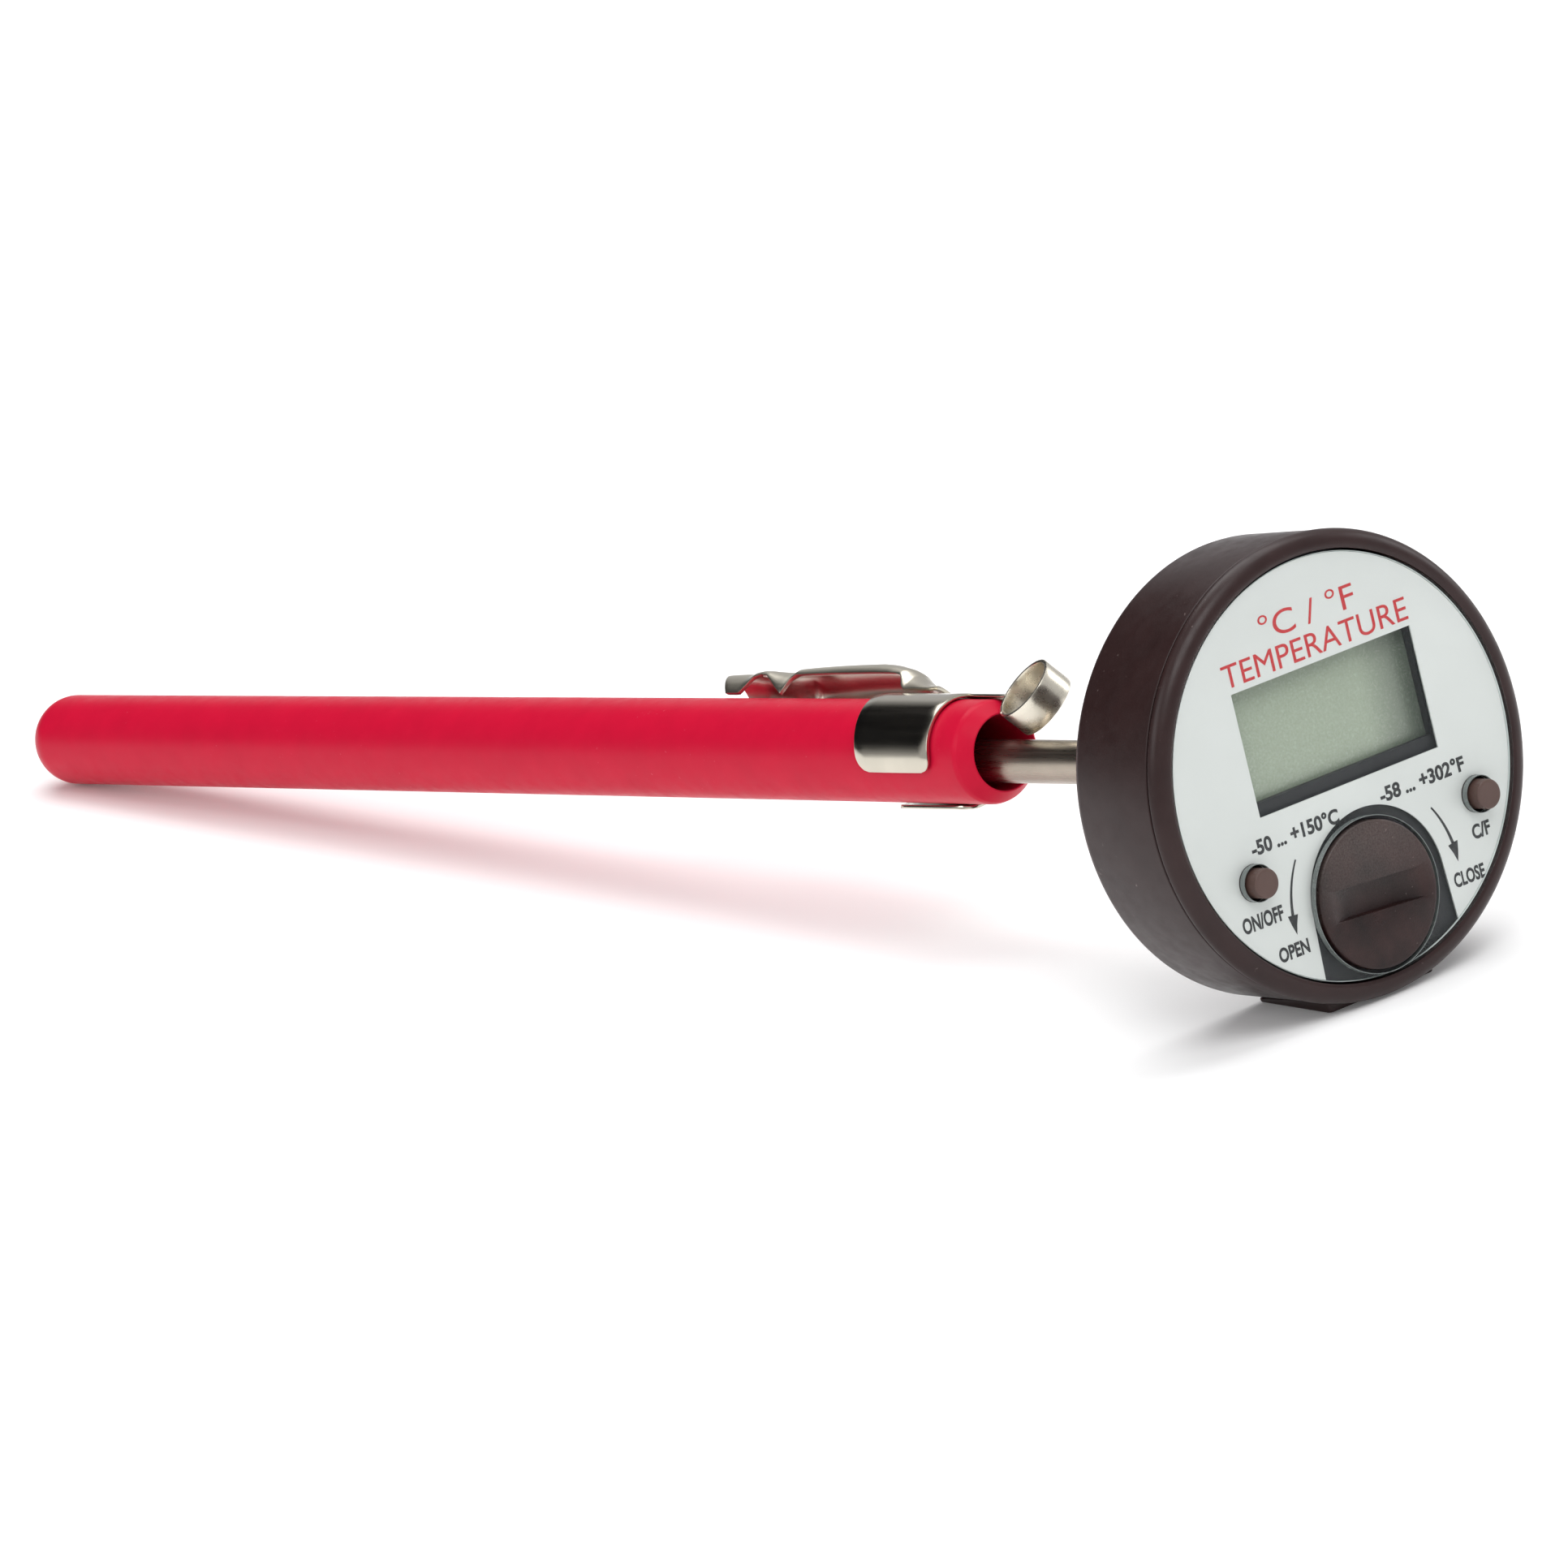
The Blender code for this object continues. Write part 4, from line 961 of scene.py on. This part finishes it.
def make_tongue():
    """Spring arm with turned-down sides and a tip whose corners are cut back."""
    radial = Vector((0.0, sin(TONGUE_TURN), cos(TONGUE_TURN)))
    sideways = Vector((0.0, -cos(TONGUE_TURN), sin(TONGUE_TURN)))
    middle = Vector((0.0, 0.0, SHEATH_DROP))
    count = 24
    stations = tongue_stations()
    corner_start = -90.0
    corner_cut = 2.9
    loft_steps = 3
    rows = []
    for x, crest, drop, half_width in between(stations, loft_steps):
        tip_share = max(0.0, (corner_start - x) / (corner_start - stations[0][0]))
        row = []
        for j in range(count + 1):
            angle = pi / 2 * (-1.0 + 2.0 * j / count)
            height = (crest - drop * (1.0 - cos(angle))) * MM
            along = x + corner_cut * tip_share * (1.0 - cos(angle))
            point = Vector((along * MM, 0.0, 0.0)) + middle
            row.append(point + radial * height + sideways * half_width * MM * sin(angle))
        rows.append(row)
    tongue = applied(sheet_piece("clip_arm", rows, SHEET), 40.0)
    dress(tongue, satin_nickel, "clip_tongue", "clip_tongue", "clip_tongue")


# ---- inner pieces that stay as the frame has them ------------------------------------------
def finish_inner_pieces():
    steel = plated_metal("spring_steel", (0.62, 0.62, 0.60), 0.25)
    brass = plated_metal("contact_brass", (0.72, 0.56, 0.27), 0.25)
    finishes = {
        "inner_frame": dark_plastic,
        "lcd_frame": dark_plastic,
        "zebra_strip": moulded_plastic("strip_rubber", (0.40, 0.12, 0.24), 0.6, mottle=0.3),
        "circuit_board": moulded_plastic("board_green", (0.015, 0.12, 0.045), 0.35, mottle=0.2),
        "chip_blob": moulded_plastic("chip_epoxy", (0.010, 0.010, 0.011), 0.22),
        "capacitor": moulded_plastic("capacitor_sleeve", (0.015, 0.02, 0.10), 0.3),
        "resistor": moulded_plastic("resistor_body", (0.48, 0.30, 0.15), 0.45),
        "onoff_dome": steel,
        "unit_dome": steel,
        "battery_cell": steel,
        "battery_contact_negative": brass,
        "battery_contact_positive": brass,
        "battery_cap_seal": moulded_plastic("seal_rubber", (0.015, 0.015, 0.015), 0.55),
        "stem_collar": stem_steel,
        "thermistor_bead": moulded_plastic("bead_epoxy", (0.02, 0.02, 0.02), 0.25),
        "thermistor_lead": moulded_plastic("lead_insulation", (0.30, 0.01, 0.01), 0.5),
        "potting_plug": moulded_plastic("potting_resin", (0.5, 0.38, 0.2), 0.3),
        "board_screw_1": steel,
        "board_screw_2": steel,
        "board_screw_3": steel,
    }
    for node, finish in finishes.items():
        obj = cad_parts[node]
        if not obj.material_slots:
            obj.data.materials.append(finish)
        for material_slot in obj.material_slots:
            material_slot.material = finish


# ---- stage --------------------------------------------------------------------------------
def make_floor():
    """Pale floor under the foot and the sheath's end."""
    slope = floor_slope()
    half = 4.0
    bm = bmesh.new()
    bmesh.ops.create_grid(bm, x_segments=8, y_segments=8, size=half)
    floor = mesh_piece("floor", bm)
    floor.rotation_euler = (0.0, slope, 0.0)
    clearance = 0.12 * MM
    floor.location = (FOOT_FRONT, 0.0, HOUSING_LOW.z - clearance)
    floor.data.materials.append(floor_paper())


def area_light(name, place, aim, size, power):
    data = bpy.data.lights.new(name, "AREA")
    data.shape = "RECTANGLE"
    data.size = size[0]
    data.size_y = size[1]
    data.energy = power
    lamp = bpy.data.objects.new(name, data)
    lamp.location = place
    lamp.rotation_euler = (Vector(aim) - Vector(place)).to_track_quat("-Z", "Y").to_euler()
    bpy.context.scene.collection.objects.link(lamp)


def make_lights():
    head = (0.0, 0.0, 0.0)
    sheath = (-0.10, 0.0, 0.0)
    area_light("key_softbox", (0.75, -0.25, 0.95), head, (0.9, 0.7), 7.5)
    area_light("top_softbox", (-0.25, 0.35, 1.1), sheath, (1.4, 0.7), 9.0)
    area_light("left_softbox", (-0.15, -0.9, 0.6), sheath, (0.6, 0.5), 2.2)
    area_light("right_softbox", (0.15, 0.9, 0.3), head, (0.4, 0.4), 1.2)


def make_world():
    """Pale surroundings with a dark area behind the head and above the stem, which the metal mirrors."""
    dark_middle = Vector((-0.86, -0.16, 0.48)).normalized()
    stops = ((0.80, (0.85, 0.85, 0.86, 1.0)), (0.90, (0.012, 0.012, 0.014, 1.0)))
    world = bpy.data.worlds.new("studio")
    world.use_nodes = True
    tree = world.node_tree
    place = tree.nodes.new("ShaderNodeTexCoord").outputs["Generated"]
    dot = tree.nodes.new("ShaderNodeVectorMath")
    dot.operation = "DOT_PRODUCT"
    dot.inputs[1].default_value = dark_middle
    tree.links.new(place, dot.inputs[0])
    ramp = tree.nodes.new("ShaderNodeValToRGB")
    for element, (position, colour) in zip(ramp.color_ramp.elements, stops):
        element.position = position
        element.color = colour
    tree.links.new(dot.outputs["Value"], ramp.inputs["Fac"])
    background = tree.nodes["Background"]
    tree.links.new(ramp.outputs["Color"], background.inputs["Color"])
    background.inputs["Strength"].default_value = 0.62
    bpy.context.scene.world = world


def make_camera():
    """Long lens seen from the dial's lower left, tilted so that the dial leans in the frame."""
    azimuth = radians(54.857)
    elevation = radians(10.684)
    roll = radians(13.785)
    distance = 1.3
    target = Vector((-38.97, -31.97, 7.93)) * MM
    forward = Vector((-sin(azimuth) * cos(elevation), cos(azimuth) * cos(elevation), -sin(elevation)))
    level = forward.cross(Vector((0, 0, 1))).normalized()
    upright = level.cross(forward)
    right = level * cos(roll) - upright * sin(roll)
    up = upright * cos(roll) + level * sin(roll)
    data = bpy.data.cameras.new("camera")
    data.sensor_width = 36.0
    data.lens = 335.74
    data.clip_start = 0.05
    data.clip_end = 20.0
    camera = bpy.data.objects.new("camera", data)
    camera.matrix_world = Matrix((
        (right.x, up.x, -forward.x, target.x - forward.x * distance),
        (right.y, up.y, -forward.y, target.y - forward.y * distance),
        (right.z, up.z, -forward.z, target.z - forward.z * distance),
        (0.0, 0.0, 0.0, 1.0),
    ))
    bpy.context.scene.collection.objects.link(camera)
    bpy.context.scene.camera = camera


make_camera()
make_bezel()
make_housing()
make_foot()
make_lens()
make_label()
make_print()
make_display()
make_buttons()
make_cap()
make_cap_thread()
make_stem()
make_sheath()
make_clip()
make_tongue()
finish_inner_pieces()
make_floor()
make_lights()
make_world()
bpy.context.scene.view_settings.view_transform = "Standard"
